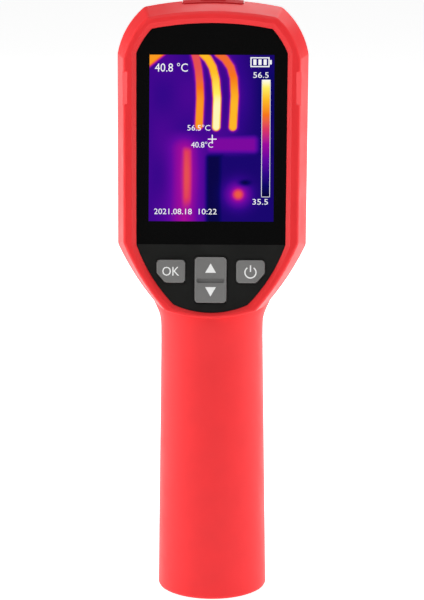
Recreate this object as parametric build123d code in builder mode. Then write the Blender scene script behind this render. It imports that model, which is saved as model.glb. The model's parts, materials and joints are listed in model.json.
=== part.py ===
from build123d import *
import math
import os
from collections import namedtuple

# Pistol-grip thermal imaging camera, in millimetres.
# +Z is up, the lens looks along +Y, and the screen faces the user at -Y, leaning back.
# The origin is at the mouth of the tripod socket, in the middle of the flat base.

os.makedirs("parts", exist_ok=True)

# ---------------------------------------------------------------- driving dimensions
TILT = 12.0                 # the screen's lean back from upright, degrees
SCREEN_DROP = 3.1           # the screen frame's origin lies this far under the base
WALL = 2.4                  # shell wall
LOOSE = 0.25                # gap round a moving cap or a cover

# Depths of the display stack, measured along the screen's normal
RIM_FACE = 47.0             # the rim round the screen
WINDOW_FACE = 45.4          # outer face of the window and of the key fascia
WINDOW_T = 1.2
GASKET_T = 0.4
LEDGE_T = 2.0               # shell ledge that the window sits on
LCD_AIR = 0.3               # air gap between window and display
WIDEST = 32.0               # depth at which the head is widest

WINDOW_BACK = WINDOW_FACE - WINDOW_T
LEDGE_FACE = WINDOW_BACK - GASKET_T
LEDGE_BACK = LEDGE_FACE - LEDGE_T
BOARD_FACE = 33.0           # screen side of the main board
BOARD_T = 1.6
BOARD_BACK = BOARD_FACE - BOARD_T

# Display: a 3.2 inch portrait panel
ACTIVE_W, ACTIVE_H = 48.6, 64.8     # the lit area
LCD_W, LCD_H = ACTIVE_W + 3.2, ACTIVE_H + 8.4
LCD_MID = 180.0
SPLIT_LINE = 139.9          # between the window and the key fascia

# Keys, in screen coordinates
KEY_PROUD = 1.2
KEY_W, KEY_H, KEY_MID_V = 11.1, 8.9, 129.4
KEY_MID_X = 15.5
ROCKER_W, ROCKER_H, ROCKER_MID_V = 12.4, 17.8, 126.1
KEY_CORNER = 1.5
KEY_CUT_W, KEY_CUT_H = 3.4, 3.9     # the cut outer corner of each side key
FLANGE = 0.6                # how far a key's flange passes the cap
FLANGE_T = 1.0
ROCKER_PIVOT_N = 42.1
PIVOT_R = 0.6
KEYBOARD_FACE = 39.2
KEYBOARD_T = 1.2
STEM_END = KEYBOARD_FACE + 2.0      # where the keys' stems stop, above the membrane
BUMP_H = 1.2                # the membrane's bumps, at the height they have when pressed
CAP_EDGE = 0.45             # rounding of a key cap's top edge

# Handle: ellipses as (height, half width, half depth, middle y), an even taper with a
# flared neck above it that runs up inside the head
HANDLE_TAPER = [(1.2, 21.8, 21.8, 0.0), (98.0, 20.3, 20.0, -0.4)]
HANDLE_NECK = [
    (98.0, 20.3, 20.0, -0.4),
    (102.0, 20.25, 20.0, -0.5),
    (106.0, 20.25, 20.0, -0.7),
    (110.0, 20.35, 20.0, -0.9),
    (114.0, 21.2, 20.0, -0.9),
    (118.0, 23.0, 19.9, -0.8),
    (122.0, 23.5, 19.6, -0.6),
    (126.0, 22.5, 19.2, -0.2),
]
BASE_EDGE = [(0.0, -1.2), (0.4, -0.4), (1.2, 0.0)]   # height and inset of the rounded foot

RIM_EDGE = [(0.0, 0.8), (0.25, 0.3), (0.9, 0.0)]     # depth and inset of the rim's edge

# Front of the head
FRONT_FACE = 34.0           # y of the front shell's face
FASCIA_T = 4.6              # thickness of the black front plate
LENS_Z = 186.0              # height of the lens axis
BARREL_R = 13.4
LENS_HOOD_R = 19.6
HOOD_END = 58.0
CAMERA_X, CAMERA_Z = -11.0, 151.0
TORCH_X, TORCH_Z = 11.0, 151.0

# Tripod socket, 1/4 inch, 20 threads per inch
SOCKET_R = 2.55
SOCKET_LEN = 9.0
INSERT_R = 4.75

# Battery, a standard 18650 cell standing in the handle
CELL_R, CELL_LEN, CELL_BOTTOM = 9.2, 65.0, 15.0

# Trigger, swinging on a cross pin near its top
TRIGGER_W = 15.0
TRIGGER_TOP, TRIGGER_BOTTOM = 122.8, 95.8
PIVOT_Y, PIVOT_Z = 15.2, 119.3
TRIGGER_PIN_R = 1.2
BRACKET_Y0, BRACKET_Y1 = 3.6, 7.2   # bracket behind the trigger

SIN = math.sin(math.radians(TILT))
COS = math.cos(math.radians(TILT))


# ---------------------------------------------------------------- frames and outlines
def screen(depth):
    """Plane parallel to the screen: x across, y up the screen, normal to the user."""
    origin = (0, -depth * COS, depth * SIN - SCREEN_DROP)
    return Plane(origin=origin, x_dir=(1, 0, 0), z_dir=(0, -COS, SIN))


def upright(y):
    """Upright plane across the lens axis: x across, y up, normal to the user."""
    return Plane(origin=(0, y, 0), x_dir=(1, 0, 0), z_dir=(0, -1, 0))


def level(z):
    """Level plane at a height."""
    return Plane.XY.offset(z)


def screen_point(x, v, n):
    """A point of the screen frame, in the part's own frame."""
    return (x, v * SIN - n * COS, v * COS + n * SIN - SCREEN_DROP)


# An eight-sided head outline: top and bottom arcs, sides, and bulged corner runs
Outline = namedtuple(
    "Outline",
    "top top_half top_v side_half side_top low_half side_low chin_half chin_v chin "
    "top_bulge chin_bulge corner",
)

RIM = Outline(230.3, 24.9, 227.9, 34.5, 211.8, 33.9, 140.4, 17.4, 113.9, 111.0, 1.6, 1.3, 2.4)
WIDE = Outline(236.9, 27.2, 234.1, 37.75, 215.6, 37.1, 140.5, 20.6, 115.6, 113.0, 1.9, 1.1, 3.0)
FRONT = Outline(230.0, 24.2, 228.0, 34.6, 209.0, 34.0, 150.0, 18.5, 131.0, 129.0, 1.6, 1.0, 3.0)
PANEL = Outline(226.0, 23.5, 223.7, 29.4, 214.3, 28.9, 139.8, 14.3, 116.5, 113.4, 0.5, 1.5, 1.2)
PLATE = Outline(223.0, 19.5, 221.6, 27.6, 208.0, 27.6, 152.0, 17.0, 138.4, 137.0, 1.0, 0.8, 2.5)


def inset(o, d):
    """The same outline, smaller all round by about d."""
    return o._replace(
        top=o.top - d, top_half=o.top_half - 0.5 * d, top_v=o.top_v - d,
        side_half=o.side_half - d, side_top=o.side_top - 0.45 * d,
        low_half=o.low_half - d, side_low=o.side_low + 0.3 * d,
        chin_half=o.chin_half - 0.6 * d, chin_v=o.chin_v + d, chin=o.chin + d,
    )


def between(a, b, t):
    """The outline a fraction t of the way from a to b."""
    return Outline(*(p + (q - p) * t for p, q in zip(a, b)))


def bulged(start, end, bulge):
    """Middle point of an arc that stands out from the run start to end."""
    run = Vector(*end) - Vector(*start)
    across = Vector(-run.Y, run.X) * (bulge / run.length)
    return (Vector(*start) + Vector(*end)) * 0.5 + across


def head_line(o):
    """Draw the closed outline in the line builder around it, clockwise from the top."""
    top, side = (o.top_half, o.top_v), (o.side_half, o.side_top)
    low, chin = (o.low_half, o.side_low), (o.chin_half, o.chin_v)
    left = [(-p[0], p[1]) for p in (top, side, low, chin)]
    ThreePointArc(left[0], (0, o.top), top)
    ThreePointArc(top, bulged(top, side, o.top_bulge), side)
    Line(side, low)
    ThreePointArc(low, bulged(low, chin, o.chin_bulge), chin)
    ThreePointArc(chin, (0, o.chin), left[3])
    ThreePointArc(left[3], bulged(left[3], left[2], o.chin_bulge), left[2])
    Line(left[2], left[1])
    ThreePointArc(left[1], bulged(left[1], left[0], o.top_bulge), left[0])


def head_sketch(plane, o):
    """The filled outline on a plane, with its corners rounded."""
    with BuildSketch(plane) as sketch:
        with BuildLine():
            head_line(o)
        make_face()
        fillet(sketch.vertices(), o.corner)
    return sketch.sketch


def rim_ring(depth, shrink):
    """The head's outline a little behind the rim's face, smaller all round by shrink."""
    outline = between(RIM, WIDE, depth / (RIM_FACE - WIDEST))
    return head_sketch(screen(RIM_FACE - depth), inset(outline, shrink))


def handle_sketch(section, grow):
    """One ellipse of the handle, larger or smaller by grow."""
    height, half_width, half_depth, middle = section
    with BuildSketch(level(height)) as sketch:
        with Locations((0, middle)):
            Ellipse(half_width + grow, half_depth + grow)
    return sketch.sketch


def handle_loft(grow, bottom):
    """Tapered handle and its flared neck, from a given bottom height."""
    foot = (bottom,) + HANDLE_TAPER[0][1:]
    loft([handle_sketch(section, grow) for section in (foot, HANDLE_TAPER[1])], ruled=True)
    loft([handle_sketch(section, grow) for section in HANDLE_NECK])


def handle_foot():
    """Rounded edge under the handle, as two short tapers."""
    rings = [handle_sketch((height,) + HANDLE_TAPER[0][1:], grow) for height, grow in BASE_EDGE]
    loft(rings, ruled=True)


def rod(x, y0, y1, z, radius, mode=Mode.ADD):
    """Round bar along Y, made in the part around it."""
    with BuildSketch(upright(y1)) as end:
        with Locations((x, z)):
            Circle(radius)
    extrude(end.sketch, amount=y1 - y0, mode=mode)


def cross_bar(half_width, y, z, radius, mode=Mode.ADD):
    """Round bar along X, centred on the middle plane."""
    with BuildSketch(Plane.YZ) as end:
        with Locations((y, z)):
            Circle(radius)
    extrude(end.sketch, amount=half_width, both=True, mode=mode)


def save(builder, name):
    """Label a finished piece and write its file."""
    builder.part.label = name
    export_step(builder.part, "parts/" + name + ".step")


# ---------------------------------------------------------------- outer form and cavity
with BuildPart() as form:
    rim_rings = [rim_ring(depth, shrink) for depth, shrink in RIM_EDGE]
    loft(rim_rings + [head_sketch(screen(WIDEST), WIDE)], ruled=True)
    loft([head_sketch(screen(WIDEST), WIDE), head_sketch(upright(FRONT_FACE), FRONT)], ruled=True)
    front_edges = form.faces().sort_by(Axis.Y)[-1].edges()
    fillet(front_edges, 2.5)
    handle_loft(0, BASE_EDGE[-1][0])
    handle_foot()

rim_share = (RIM_FACE - LEDGE_BACK) / (RIM_FACE - WIDEST)
with BuildPart() as cavity:
    inner_rim = inset(between(RIM, WIDE, rim_share), WALL)
    inner_wide = inset(WIDE, WALL)
    inner_front = inset(FRONT, WALL)
    loft([head_sketch(screen(LEDGE_BACK), inner_rim), head_sketch(screen(WIDEST), inner_wide)],
         ruled=True)
    loft([head_sketch(screen(WIDEST), inner_wide),
          head_sketch(upright(FRONT_FACE - WALL), inner_front)], ruled=True)
    handle_loft(-WALL, 3.0)


# Opening for the window and the fascia, with a sloping wall down from the rim
slope_top = inset(PANEL, -1.9)._replace(chin=PANEL.chin - 1.3, chin_v=PANEL.chin_v - 1.3)
with BuildPart() as aperture:
    loft([head_sketch(screen(WINDOW_FACE), inset(PANEL, -0.15)),
          head_sketch(screen(RIM_FACE + 0.01), slope_top)], ruled=True)
    with BuildSketch(screen(LEDGE_FACE)) as seat:
        with BuildLine():
            head_line(inset(PANEL, -0.15))
        make_face()
        fillet(seat.vertices(), PANEL.corner)
    extrude(amount=WINDOW_FACE - LEDGE_FACE)

# Holes through the ledge, behind the display and behind the keys
LCD_HOLE = (LCD_W + 0.6, LCD_H + 0.6)
with BuildPart() as ledge_holes:
    with BuildSketch(screen(LEDGE_BACK - 1)):
        with Locations((0, LCD_MID)):
            RectangleRounded(LCD_HOLE[0], LCD_HOLE[1], 0.8)
        with BuildLine():
            Polyline((-24, 137.2), (24, 137.2), (24, 130.8), (12.5, 117.6), (7.6, 115.9),
                     (-7.6, 115.9), (-12.5, 117.6), (-24, 130.8), close=True)
        make_face()
    extrude(amount=LEDGE_T + 2)

# Thumb notches in the rim's two outer edges
NOTCH_V, NOTCH_R = 200.6, 6.6
with BuildPart() as notches:
    for side in (-1, 1):
        corner = Vector(*screen_point(side * 34.3, NOTCH_V, RIM_FACE - 1.4))
        lean = Vector(*screen_point(side, 0, 1)) - Vector(*screen_point(0, 0, 0))
        with BuildSketch(Plane(origin=corner, x_dir=(0, SIN, COS), z_dir=lean)):
            Circle(NOTCH_R)
        extrude(amount=8)

# Small screws that hold the boards
BOARD_SCREW_R, BOARD_SCREW_LEN = 0.8, 3.6
BOARD_HEAD_R, BOARD_HEAD_T = 1.5, 0.9
KEY_POST_X, KEY_POST_V = 21.6, 139.7
AUX_POSTS = (145.6, 156.4)
AUX_FACE = 26.4             # y of the camera and torch board's front

# Case screws run from the lens side into bosses in the rear shell
CASE_SCREWS = [(-30.8, 158), (30.8, 158), (-29.8, 203), (29.8, 203), (0, 88.5),
               (-14.4, 8), (14.4, 8)]
SCREW_R, SCREW_HEAD_R, SCREW_HEAD_T, BOSS_R = 1.35, 2.6, 1.8, 3.2
SCREW_SINK = 3.0            # depth of a screw's seat under the outside


def front_y(x, z):
    """y of the outside of the front shell at a case screw."""
    if z > 130:
        return FRONT_FACE
    depth = HANDLE_TAPER[0][2] if z < 20 else HANDLE_TAPER[1][2]
    return math.sqrt(depth**2 - x**2)


def seam_y(z):
    """y of the seam between the shells at a height."""
    return ((z + SCREEN_DROP) * SIN - WIDEST) / COS if z > 120 else 0.0


with BuildPart() as bosses:
    for x, z in CASE_SCREWS:
        rod(x, -40, 40, z, BOSS_R)
    for side in (-1, 1):
        rod(side * 14.6, BRACKET_Y1, 20, 102, 2.2)
        rod(side * 14.6, BRACKET_Y1, 20, 112, 2.2)
    with BuildSketch(level(0)):
        Circle(INSERT_R + WALL)
    extrude(amount=SOCKET_LEN + 1.5)
    add(form.part, mode=Mode.INTERSECT)
    with BuildSketch(screen(KEYBOARD_FACE)):
        with Locations((-KEY_POST_X, KEY_POST_V), (KEY_POST_X, KEY_POST_V)):
            Circle(1.8)
            Circle(BOARD_SCREW_R, mode=Mode.SUBTRACT)
    extrude(amount=LEDGE_BACK - KEYBOARD_FACE)
    for z in AUX_POSTS:
        rod(0, AUX_FACE, FRONT_FACE - WALL, z, 2.0)
    for side in (-1, 1):
        with BuildSketch(Plane.YZ.offset(side * 9.4)):
            with Locations((PIVOT_Y - 0.6, PIVOT_Z)):
                Rectangle(6.0, 6.4)
        extrude(amount=1.3, both=True)

with BuildPart() as screw_holes:
    cross_bar(10.4, PIVOT_Y, PIVOT_Z, TRIGGER_PIN_R)
    for z in AUX_POSTS:
        rod(0, AUX_FACE, AUX_FACE + BOARD_SCREW_LEN, z, BOARD_SCREW_R)
    for x, z in CASE_SCREWS:
        seat = front_y(x, z) - SCREW_SINK
        rod(x, seat, 45, z, SCREW_HEAD_R + 0.3)
        rod(x, seam_y(z), seat, z, SCREW_R + 0.25)
        rod(x, seam_y(z) - 6.5, seam_y(z), z, SCREW_R)

# Region behind the seam: it leans with the screen in the head and stands upright below
low = screen_point(0, 121.0, WIDEST)
high = screen_point(0, 250.0, WIDEST)
with BuildPart() as rear_region:
    with BuildSketch(Plane.YZ):
        with BuildLine():
            Polyline((0, -5), (0, 104), (low[1], low[2]), (high[1], high[2]), (-60, high[2]),
                     (-60, -5), close=True)
        make_face()
    extrude(amount=60, both=True)

# ---------------------------------------------------------------- openings in the shells
# USB flap seat and the two slots under it, in the top of the head
FLAP_HALF, FLAP_Y0, FLAP_Y1 = 12.0, 13.5, 28.0
FLAP_SINK, FLAP_RISE = 1.0, 0.4
FLAP_PIVOT_Y, FLAP_PIVOT_Z, FLAP_PIN_R = 26.8, 231.9, 0.6
FLAP_GROOVE_R = 1.9         # clears the flap's lower corner as it turns
USB_X, CARD_X = -5.6, 6.2
PORT_N = 29.8               # depth of the two ports' middle


def head_loft(d):
    """The head's two tapers, smaller all round by d."""
    mid = head_sketch(screen(WIDEST), inset(WIDE, d))
    loft([head_sketch(screen(RIM_FACE), inset(RIM, d)), mid], ruled=True)
    loft([mid, head_sketch(upright(FRONT_FACE), inset(FRONT, d))], ruled=True)


def flap_block(gap):
    """Upright block over the flap's footprint, larger by gap."""
    with BuildSketch(level(225)) as foot:
        with Locations((0, (FLAP_Y0 + FLAP_Y1) / 2)):
            RectangleRounded(2 * (FLAP_HALF + gap), FLAP_Y1 - FLAP_Y0 + 2 * gap, 1.5)
    extrude(foot.sketch, amount=15)


with BuildPart() as flap_floor:
    head_loft(FLAP_SINK)

with BuildPart() as top_ports:
    flap_block(LOOSE)
    add(flap_floor.part, mode=Mode.SUBTRACT)
    cross_bar(FLAP_HALF + LOOSE, FLAP_PIVOT_Y, FLAP_PIVOT_Z, FLAP_GROOVE_R)
    cross_bar(FLAP_HALF + 2.0, FLAP_PIVOT_Y, FLAP_PIVOT_Z, FLAP_PIN_R)
    with BuildSketch(screen(PORT_N - 2.0)):
        with Locations((USB_X, 235)):
            Rectangle(9.6, 10)
        with Locations((CARD_X, 235)):
            Rectangle(12.0, 10)
    extrude(amount=4.0)

# Opening for the trigger in the front of the handle
with BuildPart() as trigger_slot:
    with BuildSketch(upright(40)):
        with Locations((0, (TRIGGER_TOP + TRIGGER_BOTTOM) / 2 - 0.4)):
            RectangleRounded(TRIGGER_W + 0.7, TRIGGER_TOP - TRIGGER_BOTTOM + 1.8, 0.7)
    extrude(amount=30)

# Openings in the front wall: lens, view camera and torch
with BuildPart() as front_holes:
    rod(0, 20, 45, LENS_Z, BARREL_R + 0.4)
    rod(CAMERA_X, 20, 45, CAMERA_Z, 3.6)
    rod(TORCH_X, 20, 45, TORCH_Z, 4.0)

# Shallow recess for the rubber grip pad round the front of the handle
GRIP_LOW, GRIP_HIGH, GRIP_HALF, GRIP_SINK, GRIP_RISE = 14.0, 91.0, 17.0, 0.9, 0.7
with BuildPart() as grip_window:
    with BuildSketch(upright(40)):
        with Locations((0, (GRIP_LOW + GRIP_HIGH) / 2)):
            RectangleRounded(2 * GRIP_HALF, GRIP_HIGH - GRIP_LOW, 6.0)
    extrude(amount=36)

with BuildPart() as grip_core:
    handle_loft(-GRIP_SINK, 1.2)

with BuildPart() as grip_recess:
    add(grip_window.part)
    add(grip_core.part, mode=Mode.SUBTRACT)

# ---------------------------------------------------------------- shells
with BuildPart() as housing:
    add(form.part)
    add(cavity.part, mode=Mode.SUBTRACT)
    add(bosses.part)
    for cutter in (aperture, ledge_holes, notches, screw_holes, top_ports, trigger_slot,
                   front_holes, grip_recess):
        add(cutter.part, mode=Mode.SUBTRACT)
    with BuildSketch(level(0)):
        Circle(INSERT_R)
    extrude(amount=SOCKET_LEN, mode=Mode.SUBTRACT)

with BuildPart() as rear_shell:
    add(housing.part)
    add(rear_region.part, mode=Mode.INTERSECT)
save(rear_shell, "rear_shell")

with BuildPart() as front_shell:
    add(housing.part)
    add(rear_region.part, mode=Mode.SUBTRACT)
save(front_shell, "front_shell")

with BuildPart() as grip_pad:
    handle_loft(GRIP_RISE, 1.2)
    add(grip_window.part, mode=Mode.INTERSECT)
    add(grip_core.part, mode=Mode.SUBTRACT)
    with BuildSketch(upright(40)):
        with Locations((0, 88.5)):
            Circle(SCREW_HEAD_R + 0.6)
    extrude(amount=40, mode=Mode.SUBTRACT)
save(grip_pad, "grip_pad")

with BuildPart() as case_screws:
    for x, z in CASE_SCREWS:
        seat = front_y(x, z) - SCREW_SINK
        rod(x, seam_y(z) - 6.0, seat, z, SCREW_R)
        rod(x, seat, seat + SCREW_HEAD_T, z, SCREW_HEAD_R)
        with BuildSketch(upright(seat + SCREW_HEAD_T)):
            with Locations((x, z)):
                RegularPolygon(1.1, 6)
        extrude(amount=1.1, mode=Mode.SUBTRACT)
save(case_screws, "case_screws")

with BuildPart() as tripod_insert:
    with BuildSketch(level(0)):
        Circle(INSERT_R)
        Circle(SOCKET_R, mode=Mode.SUBTRACT)
    extrude(amount=SOCKET_LEN)
save(tripod_insert, "tripod_insert")

# ---------------------------------------------------------------- window, fascia and keys
with BuildPart() as panel_blank:
    with BuildSketch(screen(WINDOW_BACK)) as panel_face:
        with BuildLine():
            head_line(PANEL)
        make_face()
        fillet(panel_face.vertices(), PANEL.corner)
    extrude(amount=WINDOW_T)

with BuildPart() as display_window:
    add(panel_blank.part)
    with BuildSketch(screen(WINDOW_BACK - 1)):
        with Locations((0, SPLIT_LINE - 20 + 0.04)):
            Rectangle(80, 40)
    extrude(amount=WINDOW_T + 2, mode=Mode.SUBTRACT)
save(display_window, "display_window")


def key_cap(side, grow):
    """Outline of a side key, with its outer lower corner cut."""
    half_w, half_h = KEY_W / 2 + grow, KEY_H / 2 + grow
    inner, outer = side * (KEY_MID_X - half_w), side * (KEY_MID_X + half_w)
    top, bottom = KEY_MID_V + half_h, KEY_MID_V - half_h
    Polyline((inner, top), (outer, top), (outer, bottom + KEY_CUT_H),
             (outer - side * KEY_CUT_W, bottom), (inner, bottom), close=True)


def key_sketch(side, grow, depth):
    """Filled and rounded outline of a side key on a plane."""
    with BuildSketch(screen(depth)) as sketch:
        with BuildLine():
            key_cap(side, grow)
        make_face()
        fillet(sketch.vertices(), KEY_CORNER if grow < FLANGE else 0.6)
    return sketch.sketch


with BuildPart() as key_fascia:
    add(panel_blank.part)
    with BuildSketch(screen(WINDOW_BACK - 1)):
        with Locations((0, SPLIT_LINE + 60 - 0.04)):
            Rectangle(80, 120)
    extrude(amount=WINDOW_T + 2, mode=Mode.SUBTRACT)
    for side in (-1, 1):
        extrude(key_sketch(side, LOOSE, WINDOW_BACK - 2), amount=4, mode=Mode.SUBTRACT)
    with BuildSketch(screen(WINDOW_BACK - 2)):
        with Locations((0, ROCKER_MID_V)):
            RectangleRounded(ROCKER_W + 2 * LOOSE, ROCKER_H + 0.8, KEY_CORNER)
    extrude(amount=4, mode=Mode.SUBTRACT)
    for side in (-1, 1):
        with BuildSketch(screen(WINDOW_BACK - 3.0)):
            with Locations((side * 8.3, ROCKER_MID_V)):
                Rectangle(1.4, 2.6)
        extrude(amount=3.0)
    with BuildSketch(Plane.YZ.offset(-12)):
        with Locations(screen_point(0, ROCKER_MID_V, ROCKER_PIVOT_N)[1:]):
            Circle(PIVOT_R)
    extrude(amount=24, mode=Mode.SUBTRACT)
save(key_fascia, "key_fascia")

FLANGE_TOP = WINDOW_BACK - 0.15
for side, name in ((-1, "ok_key"), (1, "power_key")):
    with BuildPart() as side_key:
        extrude(key_sketch(side, FLANGE, FLANGE_TOP - FLANGE_T), amount=FLANGE_T)
        cap_height = WINDOW_FACE + KEY_PROUD - FLANGE_TOP + FLANGE_T
        extrude(key_sketch(side, 0, FLANGE_TOP - FLANGE_T), amount=cap_height)
        face = side_key.faces().sort_by(Axis.Y)[0]
        fillet(face.edges(), CAP_EDGE)
        with BuildSketch(screen(STEM_END)):
            with Locations((side * KEY_MID_X, KEY_MID_V)):
                Circle(1.6)
        extrude(amount=2.0)
    save(side_key, name)

with BuildPart() as arrow_rocker:
    with BuildSketch(screen(FLANGE_TOP - 0.6 - FLANGE_T)):
        with Locations((0, ROCKER_MID_V)):
            RectangleRounded(ROCKER_W + 2 * FLANGE, ROCKER_H + 2 * FLANGE, 1.0)
    extrude(amount=FLANGE_T)
    with BuildSketch(screen(FLANGE_TOP - 0.6 - FLANGE_T)):
        with Locations((0, ROCKER_MID_V)):
            RectangleRounded(ROCKER_W, ROCKER_H, KEY_CORNER)
    extrude(amount=WINDOW_FACE + KEY_PROUD - FLANGE_TOP + 0.6 + FLANGE_T)
    face = arrow_rocker.faces().sort_by(Axis.Y)[0]
    fillet(face.edges(), CAP_EDGE)
    with BuildSketch(screen(WINDOW_FACE + KEY_PROUD - 0.7)):
        with Locations((0, ROCKER_MID_V - 0.3)):
            RectangleRounded(10.8, 1.7, 0.8)
    extrude(amount=2, mode=Mode.SUBTRACT)
    with BuildSketch(screen(ROCKER_PIVOT_N - 1.2)):
        with Locations((0, ROCKER_MID_V)):
            Rectangle(14.0, 2.6)
    extrude(amount=1.8)
    with BuildSketch(screen(STEM_END)):
        with Locations((0, ROCKER_MID_V - 5.6), (0, ROCKER_MID_V + 5.6)):
            Circle(1.5)
    extrude(amount=2.0)
    with BuildSketch(Plane.YZ.offset(-12)):
        with Locations(screen_point(0, ROCKER_MID_V, ROCKER_PIVOT_N)[1:]):
            Circle(PIVOT_R + 0.05)
    extrude(amount=24, mode=Mode.SUBTRACT)
save(arrow_rocker, "arrow_rocker")

with BuildPart() as rocker_pin:
    with BuildSketch(Plane.YZ.offset(-9.0)):
        with Locations(screen_point(0, ROCKER_MID_V, ROCKER_PIVOT_N)[1:]):
            Circle(PIVOT_R)
    extrude(amount=18.0)
save(rocker_pin, "rocker_pin")

# ---------------------------------------------------------------- display stack
with BuildPart() as window_gasket:
    with BuildSketch(screen(LEDGE_FACE)) as gasket_face:
        with BuildLine():
            head_line(PANEL)
        make_face()
        fillet(gasket_face.vertices(), PANEL.corner)
    extrude(amount=GASKET_T)
    add(ledge_holes.part, mode=Mode.SUBTRACT)
save(window_gasket, "window_gasket")

with BuildPart() as lcd_panel:
    with BuildSketch(screen(LEDGE_BACK)):
        with Locations((0, LCD_MID)):
            RectangleRounded(LCD_W, LCD_H, 0.6)
    extrude(amount=WINDOW_BACK - LCD_AIR - LEDGE_BACK)
save(lcd_panel, "lcd_panel")

FRAME_T = 1.0
FRAME_NOTCHES = [(side * 31.0, v) for side in (-1, 1) for v in (156.0, 202.0)]
FRAME_POSTS = [(-20.5, 151), (20.5, 151), (-20.5, 212), (20.5, 212)]
with BuildPart() as lcd_frame:
    with BuildSketch(screen(LEDGE_BACK - FRAME_T)) as frame_face:
        with Locations((0, LCD_MID)):
            Rectangle(57.0, 75.0)
        chamfer(frame_face.vertices(), 4.0)
        with Locations((0, LCD_MID - 37)):
            Rectangle(18.0, 6.0, mode=Mode.SUBTRACT)
        with Locations((0, LCD_MID)):
            RectangleRounded(30.0, 44.0, 3.0, mode=Mode.SUBTRACT)
        with Locations(FRAME_NOTCHES):
            Rectangle(9.6, 8.4, mode=Mode.SUBTRACT)
    extrude(amount=FRAME_T)
    with BuildSketch(screen(BOARD_FACE)):
        with Locations(FRAME_POSTS):
            Circle(2.2)
            Circle(BOARD_SCREW_R, mode=Mode.SUBTRACT)
    extrude(amount=LEDGE_BACK - FRAME_T - BOARD_FACE)
save(lcd_frame, "lcd_frame")

with BuildPart() as keypad_membrane:
    with BuildSketch(screen(KEYBOARD_FACE)):
        with BuildLine():
            Polyline((-18.8, 135.8), (18.8, 135.8), (18.8, 126), (9, 117.4), (-9, 117.4),
                     (-18.8, 126), close=True)
        make_face()
    extrude(amount=0.6)
    with BuildSketch(screen(KEYBOARD_FACE)):
        with Locations((-KEY_MID_X, KEY_MID_V), (KEY_MID_X, KEY_MID_V),
                       (0, ROCKER_MID_V - 5.6), (0, ROCKER_MID_V + 5.6)):
            Circle(2.3)
    extrude(amount=BUMP_H, taper=14)
save(keypad_membrane, "keypad_membrane")

with BuildPart() as key_board:
    with BuildSketch(screen(KEYBOARD_FACE - KEYBOARD_T)):
        with BuildLine():
            Polyline((-24, 141.5), (24, 141.5), (24, 129.5), (10, 117.2), (-10, 117.2),
                     (-24, 129.5), close=True)
        make_face()
        with Locations((-KEY_POST_X, KEY_POST_V), (KEY_POST_X, KEY_POST_V)):
            Circle(BOARD_SCREW_R, mode=Mode.SUBTRACT)
    extrude(amount=KEYBOARD_T)
save(key_board, "key_board")


def strip(points, x0, x1, thickness=0.3):
    """Flat ribbon that follows points in the middle plane, from x0 to x1."""
    with BuildSketch(Plane.YZ.offset(x0)) as side_view:
        with BuildLine() as path:
            Polyline(*points)
        trace(path.line, thickness)
    extrude(side_view.sketch, amount=x1 - x0)


def screen_yz(v, n):
    """A point of the screen frame's middle, as (y, z)."""
    return screen_point(0, v, n)[1:]


with BuildPart() as display_ribbon:
    strip([screen_yz(144.6, LEDGE_BACK), screen_yz(144.6, 34.2), screen_yz(149.5, 34.2)], -7, 7)
save(display_ribbon, "display_ribbon")

with BuildPart() as key_ribbon:
    strip([screen_yz(133, 37.84), screen_yz(133, 36.0), screen_yz(145.4, 34.2),
           screen_yz(149.5, 34.2)], 9.5, 15.5)
save(key_ribbon, "key_ribbon")


# ---------------------------------------------------------------- main board and ports
def chip(x, v, w, h, n0, n1, corner=0.4):
    """Flat block on a board, from depth n0 to n1."""
    with BuildSketch(screen(n0)) as outline:
        with Locations((x, v)):
            RectangleRounded(w, h, corner)
    extrude(outline.sketch, amount=n1 - n0)


with BuildPart() as main_board:
    with BuildSketch(screen(BOARD_BACK)) as board_face:
        with Locations((0, 187)):
            Rectangle(52.0, 80.0)
        chamfer(board_face.vertices(), 3.0)
        with Locations(FRAME_POSTS):
            Circle(BOARD_SCREW_R, mode=Mode.SUBTRACT)
    extrude(amount=BOARD_T)
    chip(0, 149.5, 16, 3, BOARD_FACE, BOARD_FACE + 1.0)
    chip(12.5, 149.5, 8, 3, BOARD_FACE, BOARD_FACE + 1.0)
    chip(4, 190, 14, 14, BOARD_FACE, BOARD_FACE + 1.4)
    chip(-14, 186, 9, 12, BOARD_FACE, BOARD_FACE + 1.1)
    chip(0, 150, 6, 4, BOARD_BACK - 3.0, BOARD_BACK)
save(main_board, "main_board")

with BuildPart() as processor_shield:
    chip(-12, 166, 22, 20, BOARD_BACK - 2.2, BOARD_BACK, 1.0)
    with BuildSketch(screen(BOARD_BACK - 2.0)):
        with Locations((-12, 166)):
            RectangleRounded(21.6, 19.6, 0.8)
    extrude(amount=2.0, mode=Mode.SUBTRACT)
save(processor_shield, "processor_shield")

with BuildPart() as buzzer:
    with BuildSketch(screen(BOARD_BACK - 4.5)):
        with Locations((14, 160)):
            Circle(4.5)
    extrude(amount=4.5)
    with BuildSketch(screen(BOARD_BACK - 4.5)):
        with Locations((14, 160)):
            Circle(0.9)
    extrude(amount=1.5, mode=Mode.SUBTRACT)
save(buzzer, "buzzer")

with BuildPart() as usb_receptacle:
    chip(USB_X, 229.6, 9.0, 7.4, BOARD_BACK - 3.2, BOARD_BACK, 0.4)
    with BuildSketch(screen(BOARD_BACK - 2.85)):
        with Locations((USB_X, 230.6)):
            Rectangle(8.3, 6.0)
    extrude(amount=2.5, mode=Mode.SUBTRACT)
    with BuildSketch(screen(BOARD_BACK - 1.95)):
        with Locations((USB_X, 229.6)):
            Rectangle(6.7, 6.0)
    extrude(amount=0.7)
save(usb_receptacle, "usb_receptacle")

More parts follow.
